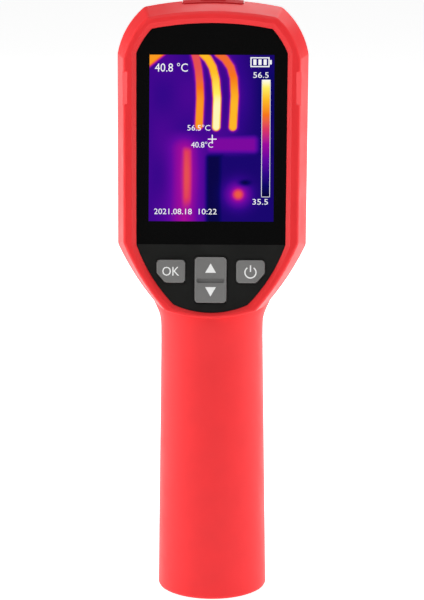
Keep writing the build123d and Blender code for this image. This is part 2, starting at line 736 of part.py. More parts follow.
with BuildPart() as card_slot:
    chip(CARD_X, 226.0, 13.0, 14.0, BOARD_BACK - 2.0, BOARD_BACK, 0.4)
    with BuildSketch(screen(BOARD_BACK - 1.6)):
        with Locations((CARD_X, 226.6)):
            Rectangle(11.4, 14.0)
    extrude(amount=1.2, mode=Mode.SUBTRACT)
save(card_slot, "card_slot")

with BuildPart() as memory_card:
    with BuildSketch(screen(BOARD_BACK - 1.5)):
        with Locations((CARD_X, 227.3)):
            Rectangle(11.0, 14.6)
        with Locations((CARD_X + 5.0, 232.0)):
            Rectangle(1.0, 5.4, mode=Mode.SUBTRACT)
    extrude(amount=1.0)
save(memory_card, "memory_card")

with BuildPart() as flap_roof:
    head_loft(-FLAP_RISE)

with BuildPart() as usb_cover:
    flap_block(0)
    add(flap_roof.part, mode=Mode.INTERSECT)
    add(flap_floor.part, mode=Mode.SUBTRACT)
    cross_bar(FLAP_HALF, FLAP_PIVOT_Y, FLAP_PIVOT_Z, 1.4)
    cross_bar(FLAP_HALF + 1, FLAP_PIVOT_Y, FLAP_PIVOT_Z, FLAP_PIN_R + 0.05, mode=Mode.SUBTRACT)
save(usb_cover, "usb_cover")

with BuildPart() as cover_pin:
    cross_bar(FLAP_HALF + 1.9, FLAP_PIVOT_Y, FLAP_PIVOT_Z, FLAP_PIN_R)
save(cover_pin, "cover_pin")

# ---------------------------------------------------------------- lens, sensor and shutter
def turned(points):
    """Solid of revolution about the lens axis, from (y, radius) points."""
    with BuildSketch(Plane.YZ) as half:
        with BuildLine():
            Polyline(*[(y, LENS_Z + r) for y, r in points], close=True)
        make_face()
    revolve(half.sketch, axis=Axis((0, 0, LENS_Z), (0, 1, 0)))


def wall_plate(y0, y1, x, z, w, h, corner):
    """Upright plate across the lens axis, from y0 to y1."""
    with BuildSketch(upright(y1)) as outline:
        with Locations((x, z)):
            RectangleRounded(w, h, corner)
    extrude(outline.sketch, amount=y1 - y0)


def wall_holes(points, y0, y1, radius):
    """Round holes along Y through what is there."""
    with BuildSketch(upright(y1)) as holes:
        with Locations(points):
            Circle(radius)
    extrude(holes.sketch, amount=y1 - y0, mode=Mode.SUBTRACT)


PLATE_FACE = FRONT_FACE + FASCIA_T
with BuildPart() as front_plate:
    extrude(head_sketch(upright(PLATE_FACE), PLATE), amount=FASCIA_T)
    outer_edges = front_plate.faces().sort_by(Axis.Y)[-1].edges()
    chamfer(outer_edges, 1.2)
    wall_holes([(0, LENS_Z)], 30, 45, BARREL_R + 0.6)
    wall_holes([(CAMERA_X, CAMERA_Z)], 30, 45, 4.2)
    wall_holes([(TORCH_X, TORCH_Z)], 30, 45, 5.0)
save(front_plate, "front_plate")

with BuildPart() as lens_hood:
    turned([(PLATE_FACE, BARREL_R + 0.6), (PLATE_FACE, LENS_HOOD_R + 0.8),
            (PLATE_FACE + 1.6, LENS_HOOD_R), (HOOD_END - 1.4, LENS_HOOD_R - 0.7),
            (HOOD_END, LENS_HOOD_R - 2.0), (HOOD_END, LENS_HOOD_R - 3.0),
            (HOOD_END - 3.6, BARREL_R + 0.6)])
save(lens_hood, "lens_hood")

with BuildPart() as lens_barrel:
    turned([(28.2, 9.0), (28.2, BARREL_R), (42.4, BARREL_R), (42.4, 12.5), (44.0, 12.5),
            (44.0, BARREL_R), (53.6, BARREL_R), (53.6, 11.6), (46.6, 11.6), (46.6, 9.4),
            (34.4, 9.4), (34.4, 7.6), (32.0, 7.6), (32.0, 9.0)])
save(lens_barrel, "lens_barrel")

with BuildPart() as barrel_seal:
    with BuildSketch(Plane.YZ) as section:
        with Locations((43.2, LENS_Z + 13.15)):
            Circle(0.62)
    revolve(section.sketch, axis=Axis((0, 0, LENS_Z), (0, 1, 0)))
save(barrel_seal, "barrel_seal")

with BuildPart() as front_lens:
    with BuildSketch(Plane.YZ):
        with BuildLine():
            TangentArc((51.2, LENS_Z), (49.3, LENS_Z + 11.5), tangent=(0, 1))
            Line((49.3, LENS_Z + 11.5), (46.6, LENS_Z + 11.5))
            TangentArc((47.9, LENS_Z), (46.6, LENS_Z + 11.5), tangent=(0, 1))
            Line((47.9, LENS_Z), (51.2, LENS_Z))
        make_face()
    revolve(axis=Axis((0, 0, LENS_Z), (0, 1, 0)))
save(front_lens, "front_lens")

with BuildPart() as lens_ring:
    turned([(49.8, 10.5), (49.4, 11.6), (52.4, 11.6), (52.4, 10.9), (50.9, 10.5)])
save(lens_ring, "lens_ring")

with BuildPart() as rear_lens:
    with BuildSketch(Plane.YZ):
        with BuildLine():
            Polyline((37.6, LENS_Z), (34.4, LENS_Z), (34.4, LENS_Z + 9.3), (36.0, LENS_Z + 9.3))
            TangentArc((37.6, LENS_Z), (36.0, LENS_Z + 9.3), tangent=(0, 1))
        make_face()
    revolve(axis=Axis((0, 0, LENS_Z), (0, 1, 0)))
save(rear_lens, "rear_lens")

SENSOR_FACE = 16.6          # y of the sensor board's lens side
CHASSIS_BACK = 28.2
SENSOR_POSTS = [(sx * 16.0, LENS_Z + sz * 15.0) for sx in (-1, 1) for sz in (-1, 1)]
with BuildPart() as optics_chassis:
    wall_plate(CHASSIS_BACK, FRONT_FACE - WALL, 0, LENS_Z, 42, 38, 4)
    for x, z in SENSOR_POSTS:
        rod(x, SENSOR_FACE, CHASSIS_BACK, z, 2.3)
    wall_holes([(0, LENS_Z)], CHASSIS_BACK - 1, 35, BARREL_R)
    wall_holes(SENSOR_POSTS, SENSOR_FACE - 1, SENSOR_FACE + BOARD_SCREW_LEN, BOARD_SCREW_R)
save(optics_chassis, "optics_chassis")

with BuildPart() as sensor_board:
    wall_plate(SENSOR_FACE - BOARD_T, SENSOR_FACE, 0, LENS_Z, 37.5, 35.5, 1.5)
    wall_holes(SENSOR_POSTS, 10, 20, BOARD_SCREW_R)
save(sensor_board, "sensor_board")

with BuildPart() as thermal_sensor:
    wall_plate(SENSOR_FACE, SENSOR_FACE + 1.6, 0, LENS_Z, 15, 15, 0.8)
    wall_plate(SENSOR_FACE + 1.6, SENSOR_FACE + 2.6, 0, LENS_Z, 11, 11, 0.6)
save(thermal_sensor, "thermal_sensor")

# Shutter: a blade on a pin swings over the aperture when the motor turns
BLADE_PIVOT = (-13.0, LENS_Z - 10.0)
BLADE_ARM, BLADE_OPEN = 16.4, 87.6
BLADE_PIN_R = 0.8
SHUTTER_Y = 22.6            # y of the shutter plate's sensor side
blade_x = BLADE_PIVOT[0] + BLADE_ARM * math.cos(math.radians(BLADE_OPEN))
blade_z = BLADE_PIVOT[1] + BLADE_ARM * math.sin(math.radians(BLADE_OPEN))
with BuildPart() as shutter_plate:
    wall_plate(SHUTTER_Y, SHUTTER_Y + 1.2, 0, LENS_Z, 36, 25, 2)
    wall_holes([(0, LENS_Z)], 20, 26, 6.4)
    wall_holes([BLADE_PIVOT], 20, 26, BLADE_PIN_R + 0.05)
    for x, z in ((15.6, LENS_Z - 8), (15.6, LENS_Z + 8), (-16.0, LENS_Z + 10.5)):
        rod(x, SHUTTER_Y + 1.2, CHASSIS_BACK, z, 1.5)
save(shutter_plate, "shutter_plate")

with BuildPart() as shutter_blade:
    rod(blade_x, SHUTTER_Y - 0.9, SHUTTER_Y - 0.3, blade_z, 7.1)
    with BuildSketch(upright(SHUTTER_Y - 0.3)):
        with Locations(((BLADE_PIVOT[0] + blade_x) / 2, (BLADE_PIVOT[1] + blade_z) / 2)):
            SlotCenterToCenter(BLADE_ARM, 4.0, rotation=BLADE_OPEN)
    extrude(amount=0.6)
    rod(BLADE_PIVOT[0], SHUTTER_Y - 1.4, SHUTTER_Y + 2.6, BLADE_PIVOT[1], BLADE_PIN_R)
save(shutter_blade, "shutter_blade")

with BuildPart() as shutter_motor:
    rod(BLADE_PIVOT[0], SHUTTER_Y + 1.2, CHASSIS_BACK, BLADE_PIVOT[1], 3.4)
    wall_holes([BLADE_PIVOT], SHUTTER_Y + 1, SHUTTER_Y + 2.8, BLADE_PIN_R + 0.05)
save(shutter_motor, "shutter_motor")

# ---------------------------------------------------------------- view camera and torch
with BuildPart() as aux_board:
    wall_plate(AUX_FACE - 1.2, AUX_FACE, 0, CAMERA_Z, 36, 15, 1.5)
    wall_holes([(0, z) for z in AUX_POSTS], AUX_FACE - 2, AUX_FACE + 1, BOARD_SCREW_R)
save(aux_board, "aux_board")

with BuildPart() as view_camera:
    wall_plate(AUX_FACE, FRONT_FACE - WALL - 0.2, CAMERA_X, CAMERA_Z, 8.5, 8.5, 0.5)
    rod(CAMERA_X, FRONT_FACE - WALL - 0.2, PLATE_FACE - 1.8, CAMERA_Z, 3.2)
    rod(CAMERA_X, PLATE_FACE - 2.6, PLATE_FACE - 1, CAMERA_Z, 1.7, mode=Mode.SUBTRACT)
save(view_camera, "view_camera")

with BuildPart() as camera_window:
    rod(CAMERA_X, PLATE_FACE - 1.2, PLATE_FACE - 0.2, CAMERA_Z, 4.2)
save(camera_window, "camera_window")

with BuildPart() as torch_led:
    wall_plate(AUX_FACE, AUX_FACE + 1.4, TORCH_X, TORCH_Z, 5, 5, 0.4)
    rod(TORCH_X, AUX_FACE + 1.4, AUX_FACE + 2.2, TORCH_Z, 1.7)
save(torch_led, "torch_led")

with BuildPart() as torch_lens:
    with BuildSketch(upright(AUX_FACE + 2.6)):
        with Locations((TORCH_X, TORCH_Z)):
            Circle(2.2)
    with BuildSketch(upright(FRONT_FACE)):
        with Locations((TORCH_X, TORCH_Z)):
            Circle(3.8)
    loft()
    rod(TORCH_X, FRONT_FACE, PLATE_FACE - 0.2, TORCH_Z, 4.9)
save(torch_lens, "torch_lens")

with BuildPart() as board_screws:
    for x, v in FRAME_POSTS:
        chip_screw = screen(BOARD_BACK - BOARD_HEAD_T)
        with BuildSketch(chip_screw) as head:
            with Locations((x, v)):
                Circle(BOARD_HEAD_R)
        extrude(head.sketch, amount=BOARD_HEAD_T)
        with BuildSketch(chip_screw) as shank:
            with Locations((x, v)):
                Circle(BOARD_SCREW_R)
        extrude(shank.sketch, amount=BOARD_HEAD_T + BOARD_T + BOARD_SCREW_LEN)
    for x in (-KEY_POST_X, KEY_POST_X):
        with BuildSketch(screen(KEYBOARD_FACE - KEYBOARD_T - BOARD_HEAD_T)) as head:
            with Locations((x, KEY_POST_V)):
                Circle(BOARD_HEAD_R)
        extrude(head.sketch, amount=BOARD_HEAD_T)
        with BuildSketch(screen(KEYBOARD_FACE - KEYBOARD_T)) as shank:
            with Locations((x, KEY_POST_V)):
                Circle(BOARD_SCREW_R)
        extrude(shank.sketch, amount=LEDGE_BACK - KEYBOARD_FACE + KEYBOARD_T - 0.1)
    for z in AUX_POSTS:
        rod(0, AUX_FACE - 1.2 - BOARD_HEAD_T, AUX_FACE - 1.2, z, BOARD_HEAD_R)
        rod(0, AUX_FACE - 1.2, AUX_FACE + BOARD_SCREW_LEN - 0.2, z, BOARD_SCREW_R)
    for x, z in SENSOR_POSTS:
        rod(x, SENSOR_FACE - BOARD_T - BOARD_HEAD_T, SENSOR_FACE - BOARD_T, z, BOARD_HEAD_R)
        rod(x, SENSOR_FACE - BOARD_T, SENSOR_FACE + BOARD_SCREW_LEN - 0.4, z, BOARD_SCREW_R)
save(board_screws, "board_screws")

with BuildPart() as sensor_ribbon:
    strip([(SENSOR_FACE - BOARD_T - 0.15, LENS_Z - 14), (SENSOR_FACE - BOARD_T - 0.15, LENS_Z - 21),
           (8.0, LENS_Z - 25), (5.6, LENS_Z - 19)], 1.0, 9.0)
save(sensor_ribbon, "sensor_ribbon")

# ---------------------------------------------------------------- trigger
with BuildPart() as trigger:
    with BuildSketch(Plane.YZ):
        with BuildLine():
            Polyline((26.4, 97.4), (25.2, TRIGGER_BOTTOM), (15.2, TRIGGER_BOTTOM), (14.4, 104.0),
                     (12.4, 116.0), (12.4, TRIGGER_TOP - 1.5), (13.9, TRIGGER_TOP),
                     (25.0, TRIGGER_TOP), (25.8, 121.6))
            ThreePointArc((25.8, 121.6), (23.4, 109.6), (26.4, 97.4))
        make_face()
    extrude(amount=TRIGGER_W / 2, both=True)
    front_run = trigger.edges().filter_by(GeomType.CIRCLE)
    fillet(front_run, 2.2)
    cross_bar(12, PIVOT_Y, PIVOT_Z, TRIGGER_PIN_R + 0.05, mode=Mode.SUBTRACT)
save(trigger, "trigger")

with BuildPart() as trigger_pin:
    cross_bar(10.3, PIVOT_Y, PIVOT_Z, TRIGGER_PIN_R)
save(trigger_pin, "trigger_pin")

SPRING_Z = 101.5
with BuildPart() as trigger_bracket:
    wall_plate(BRACKET_Y0, BRACKET_Y1, 0, 107.0, 31.8, 20.0, 2.0)
    rod(0, BRACKET_Y1, BRACKET_Y1 + 2.0, SPRING_Z, 1.6)
save(trigger_bracket, "trigger_bracket")

with BuildPart() as trigger_spring:
    with BuildLine():
        Helix(pitch=1.65, height=6.5, radius=2.4, center=(0, BRACKET_Y1 + 0.35, SPRING_Z),
              direction=(0, 1, 0))
    start = trigger_spring.pending_edges[0] @ 0
    heading = trigger_spring.pending_edges[0] % 0
    with BuildSketch(Plane(origin=start, z_dir=heading)):
        Circle(0.28)
    sweep()
save(trigger_spring, "trigger_spring")

with BuildPart() as trigger_switch:
    wall_plate(BRACKET_Y1, BRACKET_Y1 + 4.0, 0, 112.0, 12.8, 6.2, 0.5)
    rod(0, BRACKET_Y1 + 4.0, BRACKET_Y1 + 4.6, 112.0, 1.0)
save(trigger_switch, "trigger_switch")

# ---------------------------------------------------------------- battery
with BuildPart() as battery_cell:
    with BuildSketch(level(CELL_BOTTOM)):
        Circle(CELL_R)
    extrude(amount=CELL_LEN)
    fillet(battery_cell.edges(), 0.6)
    with BuildSketch(level(CELL_BOTTOM + CELL_LEN)):
        Circle(3.0)
    extrude(amount=0.9)
save(battery_cell, "battery_cell")

CRADLE_BOTTOM, CRADLE_TOP = 12.6, 84.0
with BuildPart() as battery_cradle:
    with BuildSketch(level(CRADLE_BOTTOM)):
        Circle(CELL_R + 1.7)
    extrude(amount=CRADLE_TOP - CRADLE_BOTTOM)
    with BuildSketch(level(CRADLE_BOTTOM + 1.4)):
        Circle(CELL_R + 0.1)
    extrude(amount=CRADLE_TOP - CRADLE_BOTTOM - 2.6, mode=Mode.SUBTRACT)
    with BuildSketch(level(CRADLE_BOTTOM + 1.4)):
        with Locations((0, 14)):
            Rectangle(30, 20)
    extrude(amount=CRADLE_TOP - CRADLE_BOTTOM - 2.6, mode=Mode.SUBTRACT)
save(battery_cradle, "battery_cradle")

with BuildPart() as battery_contacts:
    with BuildSketch(level(CELL_BOTTOM + CELL_LEN + 0.9)):
        Circle(4.0)
    extrude(amount=0.5)
    with BuildSketch(level(CELL_BOTTOM + CELL_LEN + 1.4)):
        Rectangle(3.0, 3.0)
    extrude(amount=CRADLE_TOP - 1.2 - CELL_BOTTOM - CELL_LEN - 1.4)
    with BuildSketch(level(CRADLE_BOTTOM + 1.4)):
        Circle(5.0)
    extrude(amount=CELL_BOTTOM - CRADLE_BOTTOM - 1.4)
save(battery_contacts, "battery_contacts")

WIRE_R = 0.65
for side, name in ((-1, "battery_lead_black"), (1, "battery_lead_red")):
    with BuildPart() as lead:
        with BuildLine() as route:
            FilletPolyline((side * 5.0, -4, CRADLE_TOP), (side * 5.0, -4, 90),
                           (side * 12.5, -4, 98), (side * 12.5, -3, 124),
                           (side * 2.0, 0.5, 139), (side * 2.0, 1.4, 147.2), radius=4)
        with BuildSketch(Plane(origin=route.line @ 0, z_dir=route.line % 0)):
            Circle(WIRE_R)
        sweep()
    save(lead, name)
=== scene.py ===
"""Looks of a pistol-grip thermal imaging camera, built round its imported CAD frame.

Everything is in metres, in the frame of the part: +Z is up, the lens looks along +Y and the
screen faces the user at -Y, leaning back.
"""

import json
import logging
import math
from dataclasses import dataclass
from enum import Enum
from typing import Callable

import bmesh
import bpy
from mathutils import Matrix, Vector
from mathutils.bvhtree import BVHTree

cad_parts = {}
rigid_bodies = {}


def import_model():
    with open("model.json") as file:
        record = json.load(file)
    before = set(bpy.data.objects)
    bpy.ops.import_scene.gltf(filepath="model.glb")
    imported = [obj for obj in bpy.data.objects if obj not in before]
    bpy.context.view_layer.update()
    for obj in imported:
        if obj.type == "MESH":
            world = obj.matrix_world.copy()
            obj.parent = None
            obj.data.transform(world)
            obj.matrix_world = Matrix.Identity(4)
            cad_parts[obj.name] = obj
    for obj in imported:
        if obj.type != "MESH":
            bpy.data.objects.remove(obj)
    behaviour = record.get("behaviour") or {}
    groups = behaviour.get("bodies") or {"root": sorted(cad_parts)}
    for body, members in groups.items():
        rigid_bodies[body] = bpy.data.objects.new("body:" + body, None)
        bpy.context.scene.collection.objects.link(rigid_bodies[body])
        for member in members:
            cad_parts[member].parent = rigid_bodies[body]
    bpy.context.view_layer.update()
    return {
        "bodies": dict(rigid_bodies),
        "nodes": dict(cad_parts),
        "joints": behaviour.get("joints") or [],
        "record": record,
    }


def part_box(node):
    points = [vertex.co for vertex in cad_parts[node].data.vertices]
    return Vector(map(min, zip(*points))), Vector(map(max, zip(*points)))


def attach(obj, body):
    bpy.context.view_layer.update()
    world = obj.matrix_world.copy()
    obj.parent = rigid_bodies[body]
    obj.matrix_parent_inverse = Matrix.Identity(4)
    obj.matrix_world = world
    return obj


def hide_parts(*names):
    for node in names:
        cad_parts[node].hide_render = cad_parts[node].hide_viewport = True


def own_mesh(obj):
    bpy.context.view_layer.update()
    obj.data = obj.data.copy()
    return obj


LOG = logging.getLogger("thermal_camera")
MM = 0.001
Triple = tuple[float, float, float]
Box = tuple[float, float, float, float]
Path = tuple[tuple[float, float], ...]


class Body(Enum):
    """Bodies of the part that new pieces ride on."""

    HOUSING = "housing"
    OK_KEY = "ok_key"
    POWER_KEY = "power_key"
    ROCKER = "arrow_rocker"
    COVER = "usb_cover"


class Slot(Enum):
    """Material slots of the record."""

    SCREEN = "lcd"
    LEGEND = "key_grey"
    GRIP = "black_rubber"
    FLAP = "red_rubber"
    TORCH = "clear_lens"
    STEEL = "steel"


# ------------------------------------------------------------------------------ finishes
def link(tree: bpy.types.NodeTree, source: bpy.types.NodeSocket,
         target: bpy.types.NodeSocket) -> None:
    """Joins two sockets of a node tree."""
    tree.links.new(source, target)


def noise(tree: bpy.types.NodeTree, vector: bpy.types.NodeSocket, scale: float,
          detail: float) -> bpy.types.NodeSocket:
    """Adds a noise texture.

    Args:
        tree: the material's nodes.
        vector: where the pattern is read.
        scale: cells per metre.
        detail: octaves.

    Returns:
        The noise's value socket.
    """
    cloud = tree.nodes.new("ShaderNodeTexNoise")
    cloud.inputs["Scale"].default_value = scale
    cloud.inputs["Detail"].default_value = detail
    link(tree, vector, cloud.inputs["Vector"])
    return cloud.outputs["Fac"]


@dataclass(frozen=True)
class Surface:
    """A moulded, coated or metal surface: fine grain, patches of tone and an uneven sheen."""

    name: str
    colour: Triple
    shade: float = 0.86                  # the darkest patch, as a share of the colour
    roughness: tuple[float, float] = (0.40, 0.52)
    grain: float = 2600.0                # cells of fine grain in a metre
    relief: float = 0.12                 # strength of the grain's bump
    metallic: float = 0.0
    specular: float = 0.5
    coat: float = 0.0
    stretch: Triple = (1.0, 1.0, 1.0)
    patches: float = 90.0                # patches of tone in a metre
    coat_roughness: float = 0.06
    grain_height: float = 0.0001
    patch_range: tuple[float, float] = (0.3, 0.7)    # the part of the noise that is used

    def material(self) -> bpy.types.Material:
        """Makes the node material.

        Returns:
            The material, reading Object coordinates only.
        """
        made = bpy.data.materials.new(self.name)
        made.use_nodes = True
        tree = made.node_tree
        shader = tree.nodes["Principled BSDF"]
        shader.inputs["Metallic"].default_value = self.metallic
        shader.inputs["Specular IOR Level"].default_value = self.specular
        shader.inputs["Coat Weight"].default_value = self.coat
        shader.inputs["Coat Roughness"].default_value = self.coat_roughness
        place = tree.nodes.new("ShaderNodeTexCoord")
        pull = tree.nodes.new("ShaderNodeMapping")
        pull.inputs["Scale"].default_value = self.stretch
        link(tree, place.outputs["Object"], pull.inputs["Vector"])
        fine = noise(tree, pull.outputs["Vector"], self.grain, 3.0)
        broad = noise(tree, pull.outputs["Vector"], self.patches, 5.0)
        bump = tree.nodes.new("ShaderNodeBump")
        bump.inputs["Strength"].default_value = self.relief
        bump.inputs["Distance"].default_value = self.grain_height
        link(tree, fine, bump.inputs["Height"])
        link(tree, bump.outputs["Normal"], shader.inputs["Normal"])
        low, high = self.patch_range
        tone = tree.nodes.new("ShaderNodeValToRGB")
        dark, light = tone.color_ramp.elements
        dark.position, light.position = low, high
        dark.color = (*(c * self.shade for c in self.colour), 1.0)
        light.color = (*self.colour, 1.0)
        link(tree, broad, tone.inputs["Fac"])
        link(tree, tone.outputs["Color"], shader.inputs["Base Color"])
        sheen = tree.nodes.new("ShaderNodeMapRange")
        sheen.inputs["From Min"].default_value = low
        sheen.inputs["From Max"].default_value = high
        sheen.inputs["To Min"].default_value = self.roughness[0]
        sheen.inputs["To Max"].default_value = self.roughness[1]
        link(tree, broad, sheen.inputs["Value"])
        link(tree, sheen.outputs["Result"], shader.inputs["Roughness"])
        return made


@dataclass(frozen=True)
class LitPicture:
    """A lit display whose colours are stored on the mesh, under a slightly uneven gloss."""

    name: str
    strength: float = 1.0
    layer: str = "picture_tone"
    base: Triple = (0.001, 0.001, 0.001)
    specular: float = 0.06
    smears: float = 120.0                # patches of gloss in a metre
    gloss: tuple[float, float] = (0.08, 0.17)

    def material(self) -> bpy.types.Material:
        """Makes the node material.

        Returns:
            The material, which reads the mesh's own colour layer.
        """
        made = bpy.data.materials.new(self.name)
        made.use_nodes = True
        tree = made.node_tree
        shader = tree.nodes["Principled BSDF"]
        shader.inputs["Base Color"].default_value = (*self.base, 1.0)
        place = tree.nodes.new("ShaderNodeTexCoord")
        uneven = noise(tree, place.outputs["Object"], self.smears, 4.0)
        sheen = tree.nodes.new("ShaderNodeMapRange")
        sheen.inputs["To Min"].default_value = self.gloss[0]
        sheen.inputs["To Max"].default_value = self.gloss[1]
        link(tree, uneven, sheen.inputs["Value"])
        link(tree, sheen.outputs["Result"], shader.inputs["Roughness"])
        shader.inputs["Specular IOR Level"].default_value = self.specular
        shader.inputs["Emission Strength"].default_value = self.strength
        paint = tree.nodes.new("ShaderNodeVertexColor")
        paint.layer_name = self.layer
        link(tree, paint.outputs["Color"], shader.inputs["Emission Color"])
        return made


class Finishes:
    """Every finish of the camera, made once."""

    RED = Surface("moulded red", (0.82, 0.030, 0.034), 0.95, (0.36, 0.46), 2200.0, 0.16,
                  specular=0.17)
    RED_FLAP = Surface("soft red flap", (0.58, 0.014, 0.018), 0.9, (0.55, 0.68), 2600.0, 0.2,
                       specular=0.15)
    GLASS = Surface("black window", (0.003, 0.003, 0.003), 0.9, (0.05, 0.08), 300.0, 0.004,
                    specular=0.12)
    FASCIA = Surface("satin charcoal", (0.0105, 0.0108, 0.0100), 0.8, (0.42, 0.55), 3200.0, 0.22,
                     specular=0.14)
    KEYS = Surface("grey key", (0.170, 0.168, 0.164), 0.93, (0.42, 0.52), 3000.0, 0.14)
    BLACK = Surface("matt black moulding", (0.020, 0.020, 0.021), 0.75, (0.48, 0.62), 2400.0, 0.3)
    RUBBER = Surface("black rubber", (0.016, 0.016, 0.017), 0.75, (0.66, 0.8), 3400.0, 0.3)
    FOAM = Surface("foam tape", (0.03, 0.03, 0.03), 0.6, (0.85, 0.95), 1800.0, 0.8)
    LCD = Surface("display glass", (0.02, 0.018, 0.03), 0.8, (0.1, 0.16), 600.0, 0.01)
    SHEET = Surface("pressed sheet", (0.55, 0.56, 0.58), 0.8, (0.28, 0.4), 1800.0, 0.1, 1.0,
                    stretch=(0.05, 1.0, 1.0))
    SILICONE = Surface("grey silicone", (0.45, 0.46, 0.47), 0.85, (0.55, 0.7), 2500.0, 0.2)
    BOARD = Surface("green circuit board", (0.012, 0.12, 0.045), 0.45, (0.3, 0.45), 1500.0, 0.2,
                    patches=420.0)
    RIBBON = Surface("amber ribbon", (0.45, 0.20, 0.03), 0.7, (0.3, 0.42), 900.0, 0.1,
                     stretch=(6.0, 0.2, 0.2))
    TIN = Surface("tinned steel", (0.62, 0.63, 0.65), 0.8, (0.22, 0.36), 1800.0, 0.1, 1.0)
    ANODISED = Surface("anodised black", (0.030, 0.030, 0.033), 0.75, (0.3, 0.42), 3000.0, 0.12,
                       0.6)
    GERMANIUM = Surface("coated germanium", (0.20, 0.15, 0.27), 0.75, (0.04, 0.09), 400.0, 0.01,
                        1.0, coat=1.0, patches=30.0)
    CLEAR = Surface("moulded clear lens", (0.62, 0.64, 0.64), 0.85, (0.06, 0.12), 500.0, 0.02,
                    coat=1.0)
    SENSOR = Surface("sensor package", (0.04, 0.04, 0.05), 0.7, (0.12, 0.2), 900.0, 0.05)
    STEEL = Surface("plain steel", (0.55, 0.55, 0.56), 0.75, (0.25, 0.4), 2400.0, 0.1, 1.0)
    BLACKENED = Surface("black oxide steel", (0.07, 0.07, 0.075), 0.7, (0.35, 0.5), 2400.0, 0.2,
                        0.9)
    BRASS = Surface("turned brass", (0.70, 0.48, 0.20), 0.8, (0.22, 0.36), 2600.0, 0.1, 1.0)
    WRAP = Surface("shrink wrap", (0.03, 0.08, 0.30), 0.85, (0.2, 0.32), 700.0, 0.05)
    PHOSPHOR = Surface("led phosphor", (0.80, 0.72, 0.22), 0.85, (0.4, 0.5), 1800.0, 0.1)
    WIRE_RED = Surface("red wire", (0.5, 0.02, 0.02), 0.85, (0.45, 0.55), 1200.0, 0.1)
    WIRE_BLACK = Surface("black wire", (0.02, 0.02, 0.02), 0.85, (0.45, 0.55), 1200.0, 0.1)
    LEGEND = Surface("printed legend", (0.86, 0.86, 0.85), 0.96, (0.45, 0.55), 2600.0, 0.06)
    PICTURE = LitPicture("lit picture")

    NODES: dict[str, Surface] = {
        "rear_shell": RED, "front_shell": RED, "grip_pad": RUBBER, "case_screws": BLACKENED,
        "tripod_insert": BRASS, "display_window": GLASS, "key_fascia": FASCIA, "ok_key": KEYS,
        "power_key": KEYS, "arrow_rocker": KEYS, "rocker_pin": STEEL, "window_gasket": FOAM,
        "lcd_panel": LCD, "lcd_frame": SHEET, "keypad_membrane": SILICONE, "key_board": BOARD,
        "display_ribbon": RIBBON, "key_ribbon": RIBBON, "main_board": BOARD,
        "processor_shield": TIN, "buzzer": BLACK, "usb_receptacle": TIN, "card_slot": TIN,
        "memory_card": BLACK, "usb_cover": RED_FLAP, "cover_pin": STEEL, "front_plate": BLACK,
        "lens_hood": BLACK, "lens_barrel": ANODISED, "barrel_seal": RUBBER,
        "front_lens": GERMANIUM, "lens_ring": ANODISED, "rear_lens": GERMANIUM,
        "optics_chassis": ANODISED, "sensor_board": BOARD, "thermal_sensor": SENSOR,
        "shutter_plate": SHEET, "shutter_blade": ANODISED, "shutter_motor": STEEL,
        "aux_board": BOARD, "view_camera": BLACK, "camera_window": SENSOR,
        "torch_led": PHOSPHOR, "torch_lens": CLEAR, "board_screws": STEEL,
        "sensor_ribbon": RIBBON, "trigger": BLACK, "trigger_pin": STEEL,
        "trigger_bracket": BLACK, "trigger_spring": STEEL, "trigger_switch": BLACK,
        "battery_cell": WRAP, "battery_cradle": BLACK, "battery_contacts": BRASS,
        "battery_lead_black": WIRE_BLACK, "battery_lead_red": WIRE_RED,
    }

    def __init__(self) -> None:
        """Starts with no material made."""
        self._made: dict[str, bpy.types.Material] = {}

    def get(self, finish: Surface | LitPicture) -> bpy.types.Material:
        """Looks a finish's material up, and makes it on first use.

        Args:
            finish: the finish.

        Returns:
            Its material.
        """
        if finish.name not in self._made:
            self._made[finish.name] = finish.material()
        return self._made[finish.name]

    def dress(self, nodes: dict[str, bpy.types.Object]) -> None:
        """Gives every CAD node its finish.

        Args:
            nodes: the CAD nodes by name.
        """
        for name, node in nodes.items():
            material = self.get(self.NODES[name])
            for holder in node.material_slots:
                holder.material = material
            LOG.info("dressed %s in %s", name, material.name)


# ------------------------------------------------------------------------------ placing
@dataclass(frozen=True)
class Leaning:
    """The leaning frame of the screen: across, up the screen, and out to the user."""

    nodes: dict[str, bpy.types.Object]
    across: Vector
    up: Vector
    out: Vector

    @classmethod
    def from_frame(cls, frame: dict) -> "Leaning":
        """Reads the lean from the direction in which a key is pressed.


        Returns:
            The leaning frame.
        """
        press = next(j["axis"] for j in frame["joints"] if j["name"] == "ok_press")
        out = -Vector(press).normalized()
        across = Vector((1.0, 0.0, 0.0))
        return cls(frame["nodes"], across, out.cross(across), out)

    def span(self, node: str, way: Vector) -> tuple[float, float]:
        """How far a CAD node reaches along a direction, lowest and highest."""
        reach = [vertex.co.dot(way) for vertex in self.nodes[node].data.vertices]
        return min(reach), max(reach)

    def middle(self, node: str, way: Vector) -> float:
        """The middle of a CAD node along a direction."""
        return sum(self.span(node, way)) / 2

    def matrix(self, x: float, v: float, n: float) -> Matrix:
        """Places flat work: its X goes across, its Y up the screen and its Z out.

        Args:
            x: place across, in metres.
            v: place up the screen.
            n: place out from the screen.

        Returns:
            The placing matrix.
        """
        origin = self.across * x + self.up * v + self.out * n
        turn = Matrix((self.across, self.up, self.out)).transposed().to_4x4()
        return Matrix.Translation(origin) @ turn


